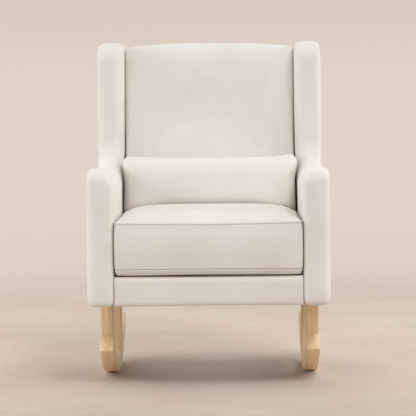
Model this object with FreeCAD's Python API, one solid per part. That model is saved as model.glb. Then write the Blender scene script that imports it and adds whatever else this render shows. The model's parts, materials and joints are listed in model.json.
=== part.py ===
import FreeCAD, Part
import math
import os

# An upholstered wing-back rocker on two wooden runners. While it is modelled, x is across the chair with the
# sitter's left at +x, y runs back from the fronts of the arms, and z is the height above the floor. The last
# step moves the origin to the middle of the footprint. Millimetres throughout.

Vec = FreeCAD.Vector

# Overall size
WIDTH = 720.0               # across the outsides of the arms
DEPTH = 850.0               # arm fronts to the rearmost point of the wings
HEIGHT = 1040.0             # floor to the wing tops
UNDERSIDE = 250.0           # floor to the underside of the upholstered body

# Side units: arm and wing in one outline
SIDE_THICKNESS = 79.0
ARM_FRONT_HEIGHT = 652.0
ARM_REAR_HEIGHT = 636.0
WING_DEPTH_LOW = 276.0      # rearmost point of the wings to the foot of a wing's front edge
WING_DEPTH_HIGH = 272.0     # rearmost point of the wings to the top of a wing's front edge
REAR_RAKE = 145.0           # rearmost point of the wings to the foot of the rear edge
NOSE_RADIUS = 34.0
SWEEP_RADIUS = 95.0
WING_FRONT_RADIUS = 62.0
WING_REAR_RADIUS = 44.0
FOOT_RADIUS = 22.0
EDGE_RADIUS = 16.0          # the soft edge all round both faces of a side unit
WING_PAD = 9.0              # extra padding on the inside of a wing
WING_PAD_FOOT = 60.0        # arm top to the lower edge of that padding
WING_PAD_MARGIN = 3.0       # flat left between that padding and the soft edge
WING_PAD_RADIUS = 34.0
WING_PAD_EDGE = 7.0
SOFT_STEPS = 3              # flats that make up a soft edge

# Wooden frame inside a side unit
FRAME_THICKNESS = 46.0
INNER_PADDING = 13.0        # seat side of a side unit to its frame
EDGE_PADDING = 18.0         # outline of a side unit to its frame
BOTTOM_WRAP = 6.0
FRAME_RAIL = 50.0           # width of the rails left round the frame's windows
WINDOW_RADIUS = 18.0
FRAME_CORNER = 4.0

# Rocker base
RUNNER_RADIUS = 700.0
RUNNER_REACH = 370.0        # floor contact to the lower edge of each end
RUNNER_DEPTH = 50.0
RUNNER_WIDTH = 41.0
RUNNER_EDGE = 3.0
CONTACT_SHARE = 0.5541      # share of the depth, from the front, at which the centre of mass lies
LEG_INSET = 30.0            # seat side of a side unit to the middle of a leg
LEG_WIDTH = 39.0
LEG_DEPTH = 50.0
FRONT_LEG_SETBACK = 42.0    # lower edge of the runner's front end to the front leg
REAR_LEG_SETBACK = 70.0     # rear foot of the body to the rear leg
LEG_EDGE = 3.0
LEG_SEAT = 1.5              # depth of the flat cut in a runner under a leg
DOWEL_DIAMETER = 10.0
DOWEL_LENGTH = 44.0
DOWEL_SPACING = 18.0

# Seat frame, webbing and deck
RAIL_THICKNESS = 25.0
RAIL_HEIGHT = 62.0
RAIL_LIFT = 8.0             # underside of the body to the underside of the rails
BORDER_SETBACK = 10.0       # arm fronts to the face of the front border
BORDER_THICKNESS = 24.0
BORDER_TOP_RADIUS = 12.0
BORDER_FOOT_RADIUS = 9.0
BLOCK_LEG = 62.0
BLOCK_HEIGHT = 40.0
STRAP_WIDTH = 60.0
STRAP_THICKNESS = 2.0
FORE_AFT_STRAPS = 5
CROSS_STRAPS = 5
DECK_THICKNESS = 12.0
DUST_THICKNESS = 1.5

# Back
OUTSIDE_BACK = 6.0          # thickness of the outside back panel
OUTSIDE_BACK_SETBACK = 2.0
POST_WIDTH = 42.0
POST_DEPTH = 45.0
POST_INSET = 18.0           # edge of the back to the outside of a post
BACK_RAIL = 48.0
BACK_STRAPS = 5
BACK_BOX = 84.0             # thickness of the inside back at its seam
BACK_CROWN = 42.0
BACK_CORNER = 34.0
BACK_TOP_BOW = 12.0         # rise of the top seam from its ends to its middle
BACK_BOW_FLAT = 0.2         # share of the half width that is level at the top of that bow
BACK_BELOW_WINGS = 4.0      # wing tops to the middle of the inside back's top seam
BACK_CLEAR_OF_DECK = 8.0
TOP_PAD_RADIUS = 40.0       # rounding of the padded roll along the top of the outside back
TOP_PAD_EDGE = 2.0
TOP_PAD_DROP = 6.0          # how far that roll stays below the inside back

# Loose seat cushion
CUSHION_BEHIND = 303.0      # rearmost point of the wings to the back of the cushion
CUSHION_BOX = 154.0         # deck to the top seam
CUSHION_CROWN = 43.0
CUSHION_CORNER = 30.0
CUSHION_TUCK = 16.0         # how far the bottom is drawn in
CUSHION_LOWER_SEAM = 18.0   # bottom to the lower seam
CUSHION_SEAM_DRAW = 3.0     # how far the seams are drawn in from the belly
CUSHION_WRAP = 24.0         # cover and fibre wrap outside the foam block
CUSHION_FRONT = 2.0         # arm fronts to the front of the cushion

# Loose lumbar pillow
PILLOW_HEIGHT = 160.0
PILLOW_THICKNESS = 126.0
PILLOW_CORNER = 12.0
PILLOW_COVER = 4.0
PILLOW_SINK = 14.0          # how deep it beds on the cushion and the back

# Clearances
FILL_GAP = 0.3              # a core to its cover
SOFT_GAP = 0.4              # loose soft pieces to their neighbours
WELL_GAP = 2.0              # cushion to the arms
PILLOW_GAP = 4.0            # pillow ends to the arms
JOIN_GAP = 0.5              # seat and back units to the side units
HOLE_GAP = 0.25             # shanks and dowels in their holes, all round
FIT_GAP = 0.2
OVERRUN = 1.0               # how far a cut runs past the face that it opens

# Fasteners
BOLT_DIAMETER = 8.0
BOLT_HEAD_FLATS = 13.0
BOLT_HEAD = 5.5
ROD_SIDES = 12
LEG_BOLT_GRIP = 38.0        # length of a bolt inside a leg
LEG_BOLT_SPACING = 24.0
SIDE_BOLT_GRIP = 30.0       # length of a bolt inside a side frame
SIDE_BOLT_MARGIN = 20.0     # corner block to the nearest bolt
SIDE_BOLTS = 3
BACK_BOLTS = 3

# Share of the way in from the seam, for each ring of a crowned face
SEAT_SHARES = (0.0, 0.04, 0.1, 0.2, 0.36, 0.58)
PILLOW_SHARES = (0.0, 0.08, 0.2, 0.38, 0.6, 0.82)
SEAT_FULLNESS = 4           # a higher power gives a flatter top and steeper shoulders
PILLOW_FULLNESS = 2.4

# Places worked out from the sizes above
WING_FOOT = DEPTH - WING_DEPTH_LOW
WING_TOP = DEPTH - WING_DEPTH_HIGH
REAR_FOOT = DEPTH - REAR_RAKE
BACK_TOP = HEIGHT - BACK_BELOW_WINGS
CUSHION_LENGTH = DEPTH - CUSHION_BEHIND - CUSHION_FRONT
CONTACT = DEPTH * CONTACT_SHARE
INNER = WIDTH / 2 - SIDE_THICKNESS
LEG_X = INNER + LEG_INSET
RAIL_FOOT = UNDERSIDE + RAIL_LIFT
RAIL_TOP = RAIL_FOOT + RAIL_HEIGHT
DECK_FOOT = RAIL_TOP + 2 * STRAP_THICKNESS
DECK_TOP = DECK_FOOT + DECK_THICKNESS
SEAT_HALF = INNER - JOIN_GAP
BACK_HALF = INNER - WING_PAD - JOIN_GAP
FRONT_RAIL = BORDER_SETBACK + BORDER_THICKNESS
CUSHION_FOOT = DECK_TOP + SOFT_GAP
CUSHION_HALF = INNER - WELL_GAP
SEAM_HEIGHT = CUSHION_FOOT + CUSHION_BOX
CREST = SEAM_HEIGHT + CUSHION_CROWN


def rear_edge():
    """Lean of the rear edge from upright, in radians: it touches the rear rounding of the wing."""
    run = DEPTH - WING_REAR_RADIUS - REAR_FOOT
    rise = HEIGHT - WING_REAR_RADIUS - UNDERSIDE
    slope = math.atan2(rise, run) - math.asin(WING_REAR_RADIUS / math.hypot(run, rise))
    return math.pi / 2 - slope


LEAN = rear_edge()
POST_FRONT = OUTSIDE_BACK_SETBACK + OUTSIDE_BACK + FIT_GAP + POST_DEPTH
PAD_BACK = POST_FRONT + STRAP_THICKNESS + FIT_GAP


def rear_at(height):
    return REAR_FOOT + (height - UNDERSIDE) * math.tan(LEAN)


def back_point(forward, up):
    """Place (y, z) of a point on the leaning back, from its distance forward of and up the rear face."""
    y = REAR_FOOT + up * math.sin(LEAN) - forward * math.cos(LEAN)
    z = UNDERSIDE + up * math.cos(LEAN) + forward * math.sin(LEAN)
    return y, z


def up_to(height, forward):
    """Distance up the rear face at which a point that far forward reaches a height."""
    return (height - UNDERSIDE - forward * math.sin(LEAN)) / math.cos(LEAN)


def lean_back(shape):
    """Moves a shape drawn upright, rear face on y = 0 and foot on z = 0, on to the rear face."""
    leaning = shape.copy()
    leaning.rotate(Vec(0, 0, 0), Vec(1, 0, 0), -math.degrees(LEAN))
    return leaning.translated(Vec(0, REAR_FOOT, UNDERSIDE))


def box(x0, x1, y0, y1, z0, z1):
    return Part.makeBox(x1 - x0, y1 - y0, z1 - z0, Vec(x0, y0, z0))


def prism(sides, radius, start, direction, length):
    """Many-sided rod from a start along a direction."""
    points = []
    for i in range(sides + 1):
        angle = 2 * math.pi * i / sides
        points.append(Vec(radius * math.cos(angle), radius * math.sin(angle), 0))
    rod = Part.Face(Part.makePolygon(points)).extrude(Vec(0, 0, length))
    rod.Placement = FreeCAD.Placement(start, FreeCAD.Rotation(Vec(0, 0, 1), direction))
    return rod


def mirrored(shape):
    return shape.mirror(Vec(0, 0, 0), Vec(1, 0, 0))


def compound(shapes):
    return Part.makeCompound(shapes)


def spread(count, first, last):
    """Even places from first to last."""
    return [first + (last - first) * i / (count - 1) for i in range(count)]


def outline(corners, radii, x):
    """Closed ring of edges in the plane x: straight runs with corner arcs; corners are (y, z) pairs."""
    stops = []
    edges = []
    for i, (y, z) in enumerate(corners):
        here = Vec(x, y, z)
        back = (Vec(x, *corners[i - 1]) - here).normalize()
        ahead = (Vec(x, *corners[(i + 1) % len(corners)]) - here).normalize()
        half = back.getAngle(ahead) / 2
        reach = radii[i] / math.tan(half)
        inward = (back + ahead).normalize()
        middle = here + inward * (radii[i] / math.sin(half) - radii[i])
        stops.append((here + back * reach, middle, here + ahead * reach))
    for i, (start, middle, end) in enumerate(stops):
        if radii[i] > 0:
            edges.append(Part.Arc(start, middle, end).toShape())
        following = stops[(i + 1) % len(stops)][0]
        edges.append(Part.LineSegment(end, following).toShape())
    return edges


def slab(corners, radii, x0, x1):
    return Part.Face(Part.Wire(outline(corners, radii, x0))).extrude(Vec(x1 - x0, 0, 0))


def strip(low, high):
    """Face between two edges of neighbouring rings: flat between straight runs, ruled between arcs."""
    if low.Curve.TypeId != "Part::GeomLine":
        return Part.makeRuledSurface(low, high)
    a, b = [v.Point for v in low.Vertexes]
    c, d = [v.Point for v in high.Vertexes]
    return Part.Face(Part.makePolygon([a, b, d, c, a]))


def skin(rings):
    """Solid through a run of rings, closed by a flat face at each end."""
    faces = [Part.Face(Part.Wire(rings[0])), Part.Face(Part.Wire(rings[-1]))]
    for low, high in zip(rings, rings[1:]):
        faces += [strip(a, b) for a, b in zip(low, high)]
    shell = Part.makeShell(faces)
    shell.sewShape()
    solid = Part.makeSolid(shell)
    if solid.Volume < 0:
        solid.reverse()
    return solid


def inset_corners(corners, insets):
    """Corners of a clockwise outline after each edge, named by its first corner, moves in by its inset."""
    lines = []
    for i, (y, z) in enumerate(corners):
        next_y, next_z = corners[(i + 1) % len(corners)]
        length = math.hypot(next_y - y, next_z - z)
        along = ((next_y - y) / length, (next_z - z) / length)
        lines.append(((y + along[1] * insets[i], z - along[0] * insets[i]), along))
    moved = []
    for i, (point, along) in enumerate(lines):
        before, heading = lines[i - 1]
        turn = heading[0] * along[1] - heading[1] * along[0]
        step = ((point[0] - before[0]) * along[1] - (point[1] - before[1]) * along[0]) / turn
        moved.append((before[0] + heading[0] * step, before[1] + heading[1] * step))
    return moved


def hex_bolt(seat, direction, length):
    """Bolt whose head stands on the seat and whose shank runs from it along the direction."""
    head = prism(6, BOLT_HEAD_FLATS / math.sqrt(3), seat, direction * -1, BOLT_HEAD)
    shank = prism(ROD_SIDES, BOLT_DIAMETER / 2, seat, direction, length)
    return head.fuse(shank).removeSplitter()


def bolt_hole(seat, direction, length):
    return prism(ROD_SIDES, BOLT_DIAMETER / 2 + HOLE_GAP, seat, direction, length)


# Side units

def side_corners():
    """Outline of a side unit from the foot of the arm's front, clockwise seen from the sitter's left."""
    return [
        (0.0, UNDERSIDE),
        (0.0, ARM_FRONT_HEIGHT),
        (WING_FOOT, ARM_REAR_HEIGHT),
        (WING_TOP, HEIGHT),
        (rear_at(HEIGHT), HEIGHT),
        (REAR_FOOT, UNDERSIDE),
    ]


def soft_edge():
    """Steps of a soft edge: how far in from the face, and from the outline, for each flat's end."""
    steps = []
    for i in range(SOFT_STEPS + 1):
        angle = math.pi / 2 * i / SOFT_STEPS
        steps.append((EDGE_RADIUS * (1 - math.cos(angle)), EDGE_RADIUS * (1 - math.sin(angle))))
    return steps


def side_body():
    """Soft outside of a side unit: its outline, drawn in towards both faces."""
    inner = [(INNER + depth, inset) for depth, inset in soft_edge()]
    outer = [(INNER + SIDE_THICKNESS - depth, inset) for depth, inset in reversed(soft_edge())]
    rings = []
    for x, inset in inner + outer:
        radii = [
            FOOT_RADIUS - inset,
            NOSE_RADIUS - inset,
            SWEEP_RADIUS + inset,
            WING_FRONT_RADIUS - inset,
            WING_REAR_RADIUS - inset,
            FOOT_RADIUS - inset,
        ]
        rings.append(outline(inset_corners(side_corners(), [inset] * len(radii)), radii, x))
    return skin(rings)


def frame_outline(gap, x0, x1):
    """Solid outline of the wooden side frame, grown by a gap for the hollow that it stands in."""
    edge = EDGE_PADDING - gap
    insets = [edge, edge, edge, edge, edge, BOTTOM_WRAP - gap]
    corner = FRAME_CORNER + gap
    radii = [
        corner,
        NOSE_RADIUS - edge,
        SWEEP_RADIUS + edge,
        WING_FRONT_RADIUS - edge,
        WING_REAR_RADIUS - edge,
        corner,
    ]
    return slab(inset_corners(side_corners(), insets), radii, x0 - gap, x1 + gap)


FRAME_IN = INNER + INNER_PADDING
FRAME_OUT = FRAME_IN + FRAME_THICKNESS
FRAME_FOOT = UNDERSIDE + BOTTOM_WRAP
FRAME_SEAT = FRAME_FOOT + FRAME_RAIL


def arm_line_at(y):
    return ARM_FRONT_HEIGHT + (ARM_REAR_HEIGHT - ARM_FRONT_HEIGHT) * y / WING_FOOT


def arm_meets_rear():
    """Corner where the line of the arm top, carried on, reaches the rear edge."""
    fall = (ARM_REAR_HEIGHT - ARM_FRONT_HEIGHT) / WING_FOOT
    y = rear_at(ARM_FRONT_HEIGHT) / (1 - fall * math.tan(LEAN))
    return y, arm_line_at(y)


def frame_windows():
    """The openings of the side frame, one under the arm and one in the wing."""
    margin = EDGE_PADDING + FRAME_RAIL
    corners = side_corners()
    meeting = arm_meets_rear()
    arm = [corners[0], corners[1], meeting, corners[5]]
    wing = [corners[2], corners[3], corners[4], meeting]
    arm = inset_corners(arm, [margin, margin, margin, BOTTOM_WRAP + FRAME_RAIL])
    wing = inset_corners(wing, [margin, margin, margin, FRAME_RAIL / 2])
    radii = [WINDOW_RADIUS] * 4
    return [slab(arm, radii, FRAME_IN, FRAME_OUT), slab(wing, radii, FRAME_IN, FRAME_OUT)]


def leg_y(front):
    """Front and back faces of a leg."""
    if front:
        face = CONTACT - RUNNER_REACH + FRONT_LEG_SETBACK
    else:
        face = REAR_FOOT - REAR_LEG_SETBACK - LEG_DEPTH
    return face, face + LEG_DEPTH


def leg_bolt_seats():
    """Tops of the side frame's bottom rail, where the leg bolts stand."""
    seats = []
    for front in (True, False):
        middle = sum(leg_y(front)) / 2
        for step in (-LEG_BOLT_SPACING / 2, LEG_BOLT_SPACING / 2):
            seats.append(Vec(LEG_X, middle + step, FRAME_SEAT))
    return seats


def side_bolt_seats():
    """Inner faces of a seat rail, where the bolts to the side frame stand."""
    first = FRONT_RAIL + RAIL_THICKNESS + BLOCK_LEG + SIDE_BOLT_MARGIN
    last = REAR_RAIL_Y - BLOCK_LEG - SIDE_BOLT_MARGIN
    x = SEAT_HALF - RAIL_THICKNESS
    height = RAIL_FOOT + RAIL_HEIGHT / 2
    return [Vec(x, y, height) for y in spread(SIDE_BOLTS, first, last)]


def back_bolt_seats():
    """Inner faces of a back post, where the bolts to the side frame stand."""
    forward = POST_FRONT - POST_DEPTH / 2
    x = BACK_HALF - POST_INSET - POST_WIDTH
    low = up_to(DECK_TOP, forward) + BACK_RAIL * 2
    high = RAIL_TOP_UP - BACK_RAIL * 2
    return [Vec(x, *back_point(forward, up)) for up in spread(BACK_BOLTS, low, high)]


REAR_RAIL_Y = back_point(POST_FRONT, up_to(RAIL_FOOT, POST_FRONT))[0] - RAIL_THICKNESS - FIT_GAP
DOWN = Vec(0, 0, -1)
OUTWARD = Vec(1, 0, 0)


def side_bolt_length(seat):
    return FRAME_IN - seat.x + SIDE_BOLT_GRIP


def side_holes():
    """Holes through the padding and into the frame for the bolts of the seat and the back."""
    seats = side_bolt_seats() + back_bolt_seats()
    return [bolt_hole(s, OUTWARD, side_bolt_length(s) + OVERRUN) for s in seats]


def side_frame():
    frame = frame_outline(0.0, FRAME_IN, FRAME_OUT).cut(frame_windows())
    legs = [bolt_hole(s, DOWN, FRAME_RAIL + OVERRUN) for s in leg_bolt_seats()]
    return frame.cut(legs + side_holes())


def side_upholstery():
    """Padding and cover of a side unit, hollow for its frame and open below for the leg tops."""
    soft = side_body().cut(frame_outline(FIT_GAP, FRAME_IN, FRAME_OUT))
    slots = []
    for front in (True, False):
        y0, y1 = leg_y(front)
        half = LEG_WIDTH / 2 + FIT_GAP
        y0, y1 = y0 - FIT_GAP, y1 + FIT_GAP
        slots.append(box(LEG_X - half, LEG_X + half, y0, y1, UNDERSIDE - OVERRUN, FRAME_FOOT))
    return soft.cut(slots + side_holes())


def wing_pad():
    """Thin padded panel on the inside of a wing, with a soft edge towards the seat."""
    corners = side_corners()
    meeting = arm_meets_rear()
    wing = [corners[2], corners[3], corners[4], meeting]
    margin = EDGE_RADIUS + WING_PAD_MARGIN
    wing = inset_corners(wing, [margin, margin, PAD_BACK + FIT_GAP, WING_PAD_FOOT])
    front = INNER - WING_PAD
    rings = []
    for x, inset in ((INNER, 0.0), (front + WING_PAD_EDGE, 0.0), (front, WING_PAD_EDGE)):
        radii = [WING_PAD_RADIUS - inset] * len(wing)
        rings.append(outline(inset_corners(wing, [inset] * len(wing)), radii, x))
    return skin(rings)


# Rocker base

def arc_point(radius, angle):
    """Point (y, z) on an arc about the runner's centre; the angle is from straight down, forwards."""
    return CONTACT - radius * math.sin(angle), RUNNER_RADIUS - radius * math.cos(angle)


def leg_angle(front):
    middle = sum(leg_y(front)) / 2
    return math.asin((CONTACT - middle) / (RUNNER_RADIUS - RUNNER_DEPTH))


def seat_line(front):
    """Heights of the flat seat of a leg on its runner, at the leg's front and back faces."""
    angle = leg_angle(front)
    y_foot, z_foot = arc_point(RUNNER_RADIUS - RUNNER_DEPTH + LEG_SEAT, angle)
    return [z_foot - (y - y_foot) * math.tan(angle) for y in leg_y(front)]


def leg_dowel_ends(front):
    angle = leg_angle(front)
    seat = RUNNER_RADIUS - RUNNER_DEPTH + LEG_SEAT
    ends = []
    for step in (-DOWEL_SPACING / 2, DOWEL_SPACING / 2):
        low = Vec(LEG_X + step, *arc_point(seat + DOWEL_LENGTH / 2, angle))
        high = Vec(LEG_X + step, *arc_point(seat - DOWEL_LENGTH / 2, angle))
        ends.append((low, high))
    return ends


def dowels(radius):
    ends = leg_dowel_ends(True) + leg_dowel_ends(False)
    return [prism(ROD_SIDES, radius, low, high - low, DOWEL_LENGTH) for low, high in ends]


def runner():
    """Bent runner with square-cut ends, softened edges, leg seats and dowel holes."""
    end = math.asin(RUNNER_REACH / RUNNER_RADIUS)
    top = RUNNER_RADIUS - RUNNER_DEPTH
    x = LEG_X - RUNNER_WIDTH / 2

    def at(radius, angle):
        return Vec(x, *arc_point(radius, angle))

    def sole(start, stop):
        middle = at(RUNNER_RADIUS, (start + stop) / 2)
        return Part.Arc(at(RUNNER_RADIUS, start), middle, at(RUNNER_RADIUS, stop)).toShape()

    back = Part.LineSegment(at(RUNNER_RADIUS, -end), at(top, -end)).toShape()
    above = Part.Arc(at(top, -end), at(top, 0), at(top, end)).toShape()
    front = Part.LineSegment(at(top, end), at(RUNNER_RADIUS, end)).toShape()
    outline = Part.Wire([sole(end, 0), sole(0, -end), back, above, front])
    blank = Part.Face(outline).extrude(Vec(RUNNER_WIDTH, 0, 0))
    rims = [e for e in blank.Edges if e.BoundBox.ZMax > RUNNER_EDGE]
    blank = blank.makeChamfer(RUNNER_EDGE, rims)
    cuts = dowels(DOWEL_DIAMETER / 2 + HOLE_GAP)
    for front_leg in (True, False):
        (y0, y1), (z0, z1) = leg_y(front_leg), seat_line(front_leg)
        seat = [(y0, z0), (y0, z0 + RUNNER_DEPTH), (y1, z1 + RUNNER_DEPTH), (y1, z1)]
        half = LEG_WIDTH / 2 + FIT_GAP
        cuts.append(slab(seat, [0, 0, 0, 0], LEG_X - half, LEG_X + half))
    return blank.cut(cuts)


def leg(front):
    """Upright leg, mitred to its seat on the runner and drilled for its dowels and bolts."""
    (y0, y1), (z0, z1) = leg_y(front), seat_line(front)
    profile = [(y0, z0), (y0, FRAME_FOOT), (y1, FRAME_FOOT), (y1, z1)]
    post = slab(profile, [0, 0, 0, 0], LEG_X - LEG_WIDTH / 2, LEG_X + LEG_WIDTH / 2)
    uprights = [e for e in post.Edges if e.BoundBox.ZLength > LEG_DEPTH]
    post = post.makeChamfer(LEG_EDGE, uprights)
    holes = dowels(DOWEL_DIAMETER / 2 + HOLE_GAP)
    holes += [bolt_hole(s, DOWN, FRAME_RAIL + LEG_BOLT_GRIP + OVERRUN) for s in leg_bolt_seats()]
    return post.cut(holes)


def leg_bolts():
    return [hex_bolt(s, DOWN, FRAME_RAIL + LEG_BOLT_GRIP) for s in leg_bolt_seats()]


def side_bolts(seats):
    return [hex_bolt(s, OUTWARD, side_bolt_length(s)) for s in seats]


# Seat unit

def seat_rail_side():
    x0 = SEAT_HALF - RAIL_THICKNESS
    rail = box(x0, SEAT_HALF, FRONT_RAIL + RAIL_THICKNESS, REAR_RAIL_Y, RAIL_FOOT, RAIL_TOP)
    return rail.cut([bolt_hole(s, OUTWARD, RAIL_THICKNESS) for s in side_bolt_seats()])


def seat_rail_across(y):
    return box(-SEAT_HALF, SEAT_HALF, y, y + RAIL_THICKNESS, RAIL_FOOT, RAIL_TOP)


def corner_block(front):
    """Three-cornered block in one corner of the seat frame, under the webbing."""
    x = SEAT_HALF - RAIL_THICKNESS
    y = FRONT_RAIL + RAIL_THICKNESS if front else REAR_RAIL_Y
    inward = BLOCK_LEG if front else -BLOCK_LEG
    z = RAIL_TOP - BLOCK_HEIGHT
    points = [Vec(x, y, z), Vec(x - BLOCK_LEG, y, z), Vec(x, y + inward, z), Vec(x, y, z)]
    return Part.Face(Part.makePolygon(points)).extrude(Vec(0, 0, BLOCK_HEIGHT))


def corner_blocks():
    pair = [corner_block(True), corner_block(False)]
    return pair + [mirrored(b) for b in pair]


def long_straps():
    """Webbing from front rail to rear rail, on top of both."""
    reach = SEAT_HALF - RAIL_THICKNESS - STRAP_WIDTH
    y0, y1 = FRONT_RAIL, REAR_RAIL_Y + RAIL_THICKNESS
    half = STRAP_WIDTH / 2
    places = spread(FORE_AFT_STRAPS, -reach, reach)
    return [box(x - half, x + half, y0, y1, RAIL_TOP, RAIL_TOP + STRAP_THICKNESS) for x in places]


def cross_straps():
    """Webbing from side to side, over the long straps; its ends turn down on to the side rails."""
    first = FRONT_RAIL + RAIL_THICKNESS + STRAP_WIDTH
    last = REAR_RAIL_Y - STRAP_WIDTH
    half = STRAP_WIDTH / 2
    z = RAIL_TOP + STRAP_THICKNESS
    straps = []
    for y in spread(CROSS_STRAPS, first, last):
        strap = box(-SEAT_HALF, SEAT_HALF, y - half, y + half, z, z + STRAP_THICKNESS)
        left = box(SEAT_HALF - RAIL_THICKNESS, SEAT_HALF, y - half, y + half, RAIL_TOP, z)
        straps.append(strap.fuse([left, mirrored(left)]).removeSplitter())
    return straps


def seat_deck():
    return box(-SEAT_HALF, SEAT_HALF, FRONT_RAIL, REAR_RAIL_Y + RAIL_THICKNESS, DECK_FOOT, DECK_TOP)


def dust_cover():
    y1 = back_point(POST_FRONT - POST_DEPTH, up_to(RAIL_FOOT - DUST_THICKNESS, POST_FRONT - POST_DEPTH))[0]
    return box(-SEAT_HALF, SEAT_HALF, FRONT_RAIL, y1 - FIT_GAP, RAIL_FOOT - DUST_THICKNESS, RAIL_FOOT)


def front_border():
    """Padded front border between the arms, rounded over at its top and foot."""
    corners = [
        (BORDER_SETBACK, UNDERSIDE),
        (BORDER_SETBACK, DECK_TOP),
        (FRONT_RAIL, DECK_TOP),
        (FRONT_RAIL, UNDERSIDE),
    ]
    return slab(corners, [BORDER_FOOT_RADIUS, BORDER_TOP_RADIUS, 0, 0], -SEAT_HALF, SEAT_HALF)


# Back

def back_box(x0, x1, forward0, forward1, up0, up1):
    return lean_back(box(x0, x1, -forward1, -forward0, up0, up1))


BACK_TOP_UP = up_to(BACK_TOP, PAD_BACK + BACK_BOX)
TOP_PAD_UP = BACK_TOP_UP - BACK_TOP_BOW - TOP_PAD_DROP
RAIL_TOP_UP = TOP_PAD_UP - TOP_PAD_RADIUS - TOP_PAD_EDGE


def back_post():
    x1 = BACK_HALF - POST_INSET
    foot = up_to(RAIL_FOOT, POST_FRONT - POST_DEPTH) + FIT_GAP
    post = back_box(x1 - POST_WIDTH, x1, POST_FRONT - POST_DEPTH, POST_FRONT, foot, RAIL_TOP_UP)
    return post.cut([bolt_hole(s, OUTWARD, POST_WIDTH) for s in back_bolt_seats()])


def back_rail(up):
    x = BACK_HALF - POST_INSET - POST_WIDTH
    return back_box(-x, x, POST_FRONT - POST_DEPTH, POST_FRONT, up, up + BACK_RAIL)


def back_straps():
    x = BACK_HALF - POST_INSET
    low = up_to(DECK_TOP, POST_FRONT) + STRAP_WIDTH
    high = RAIL_TOP_UP - 2 * STRAP_WIDTH
    straps = []
    for up in spread(BACK_STRAPS, low, high):
        straps.append(back_box(-x, x, POST_FRONT, POST_FRONT + STRAP_THICKNESS, up, up + STRAP_WIDTH))
    return straps


def outside_back():
    forward0, forward1 = OUTSIDE_BACK_SETBACK, OUTSIDE_BACK_SETBACK + OUTSIDE_BACK
    return back_box(-SEAT_HALF, SEAT_HALF, forward0, forward1, 0, RAIL_TOP_UP)


def back_top_pad():
    """Padded roll over the top rail, between the inside back and the outside back."""
    foot = RAIL_TOP_UP + FIT_GAP
    corners = [
        (-PAD_BACK + FIT_GAP, foot),
        (-PAD_BACK + FIT_GAP, TOP_PAD_UP),
        (-OUTSIDE_BACK_SETBACK, TOP_PAD_UP),
        (-OUTSIDE_BACK_SETBACK, foot),
    ]
    return lean_back(slab(corners, [0, TOP_PAD_EDGE, TOP_PAD_RADIUS, 0], -SEAT_HALF, SEAT_HALF))


# Soft forms

def oblong(half_y, half_z):
    return [(-half_y, -half_z), (-half_y, half_z), (half_y, half_z), (half_y, -half_z)]


def crown_rings(corners, radii, reach, shares, foot, crown, fullness):
    """Rings of a crowned face, from its seam at the foot up to a flat at the crest."""
    rings = []
    for share in shares:
        moved = inset_corners(corners, [share * reach] * len(corners))
        rise = crown * (1 - (1 - share) ** fullness)
        rings.append(outline(moved, radii, foot + rise))
    return rings


def facing_front(shape):
    """Turns a form drawn with its crown towards +x so that the crown faces the front."""
    shape.rotate(Vec(0, 0, 0), Vec(0, 0, 1), -90)
    return shape


def facing_up(shape):
    """Turns a form drawn with its crown towards +x so that the crown faces up."""
    shape.rotate(Vec(0, 0, 0), Vec(0, 1, 0), -90)
    return shape


def seat_cushion():
    """Boxed seat cushion: tucked-in bottom, bellied sides between two seams and a full crown."""
    widest = oblong(CUSHION_LENGTH / 2, CUSHION_HALF)
    radii = [CUSHION_CORNER] * len(widest)
    levels = [
        (CUSHION_TUCK, CUSHION_FOOT),
        (CUSHION_SEAM_DRAW, CUSHION_FOOT + CUSHION_LOWER_SEAM),
        (0.0, (CUSHION_FOOT + SEAM_HEIGHT) / 2),
    ]
    rings = [outline(inset_corners(widest, [draw] * len(widest)), radii, level) for draw, level in levels]
    seam = inset_corners(widest, [CUSHION_SEAM_DRAW] * len(widest))
    reach = CUSHION_LENGTH / 2 - CUSHION_SEAM_DRAW
    rings += crown_rings(seam, radii, reach, SEAT_SHARES, SEAM_HEIGHT, CUSHION_CROWN, SEAT_FULLNESS)
    return facing_up(skin(rings)).translated(Vec(0, CUSHION_FRONT + CUSHION_LENGTH / 2, 0))


def cushion_foam(gap):
    """Foam block of the seat cushion, grown by a gap for the hollow that it lies in."""
    margin = CUSHION_WRAP - gap
    x = CUSHION_HALF - margin
    y0 = CUSHION_FRONT + margin
    y1 = CUSHION_FRONT + CUSHION_LENGTH - margin
    return box(-x, x, y0, y1, CUSHION_FOOT + margin, SEAM_HEIGHT + gap)


def inside_back():
    """Tight inside back: a crowned pad on the webbing, its top edge bowed up in the middle."""
    foot = up_to(DECK_TOP + BACK_CLEAR_OF_DECK, PAD_BACK)
    half = (BACK_TOP_UP - foot) / 2
    side_top = half - BACK_TOP_BOW
    level = BACK_HALF * BACK_BOW_FLAT
    corners = [
        (-BACK_HALF, -half),
        (-BACK_HALF, side_top),
        (-level, half),
        (level, half),
        (BACK_HALF, side_top),
        (BACK_HALF, -half),
    ]
    radii = [BACK_CORNER, BACK_CORNER, 0.0, 0.0, BACK_CORNER, BACK_CORNER]
    rings = [outline(corners, radii, 0.0)]
    rings += crown_rings(corners, radii, BACK_HALF, SEAT_SHARES, BACK_BOX, BACK_CROWN, SEAT_FULLNESS)
    return lean_back(facing_front(skin(rings)).translated(Vec(0, -PAD_BACK, foot + half)))


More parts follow.
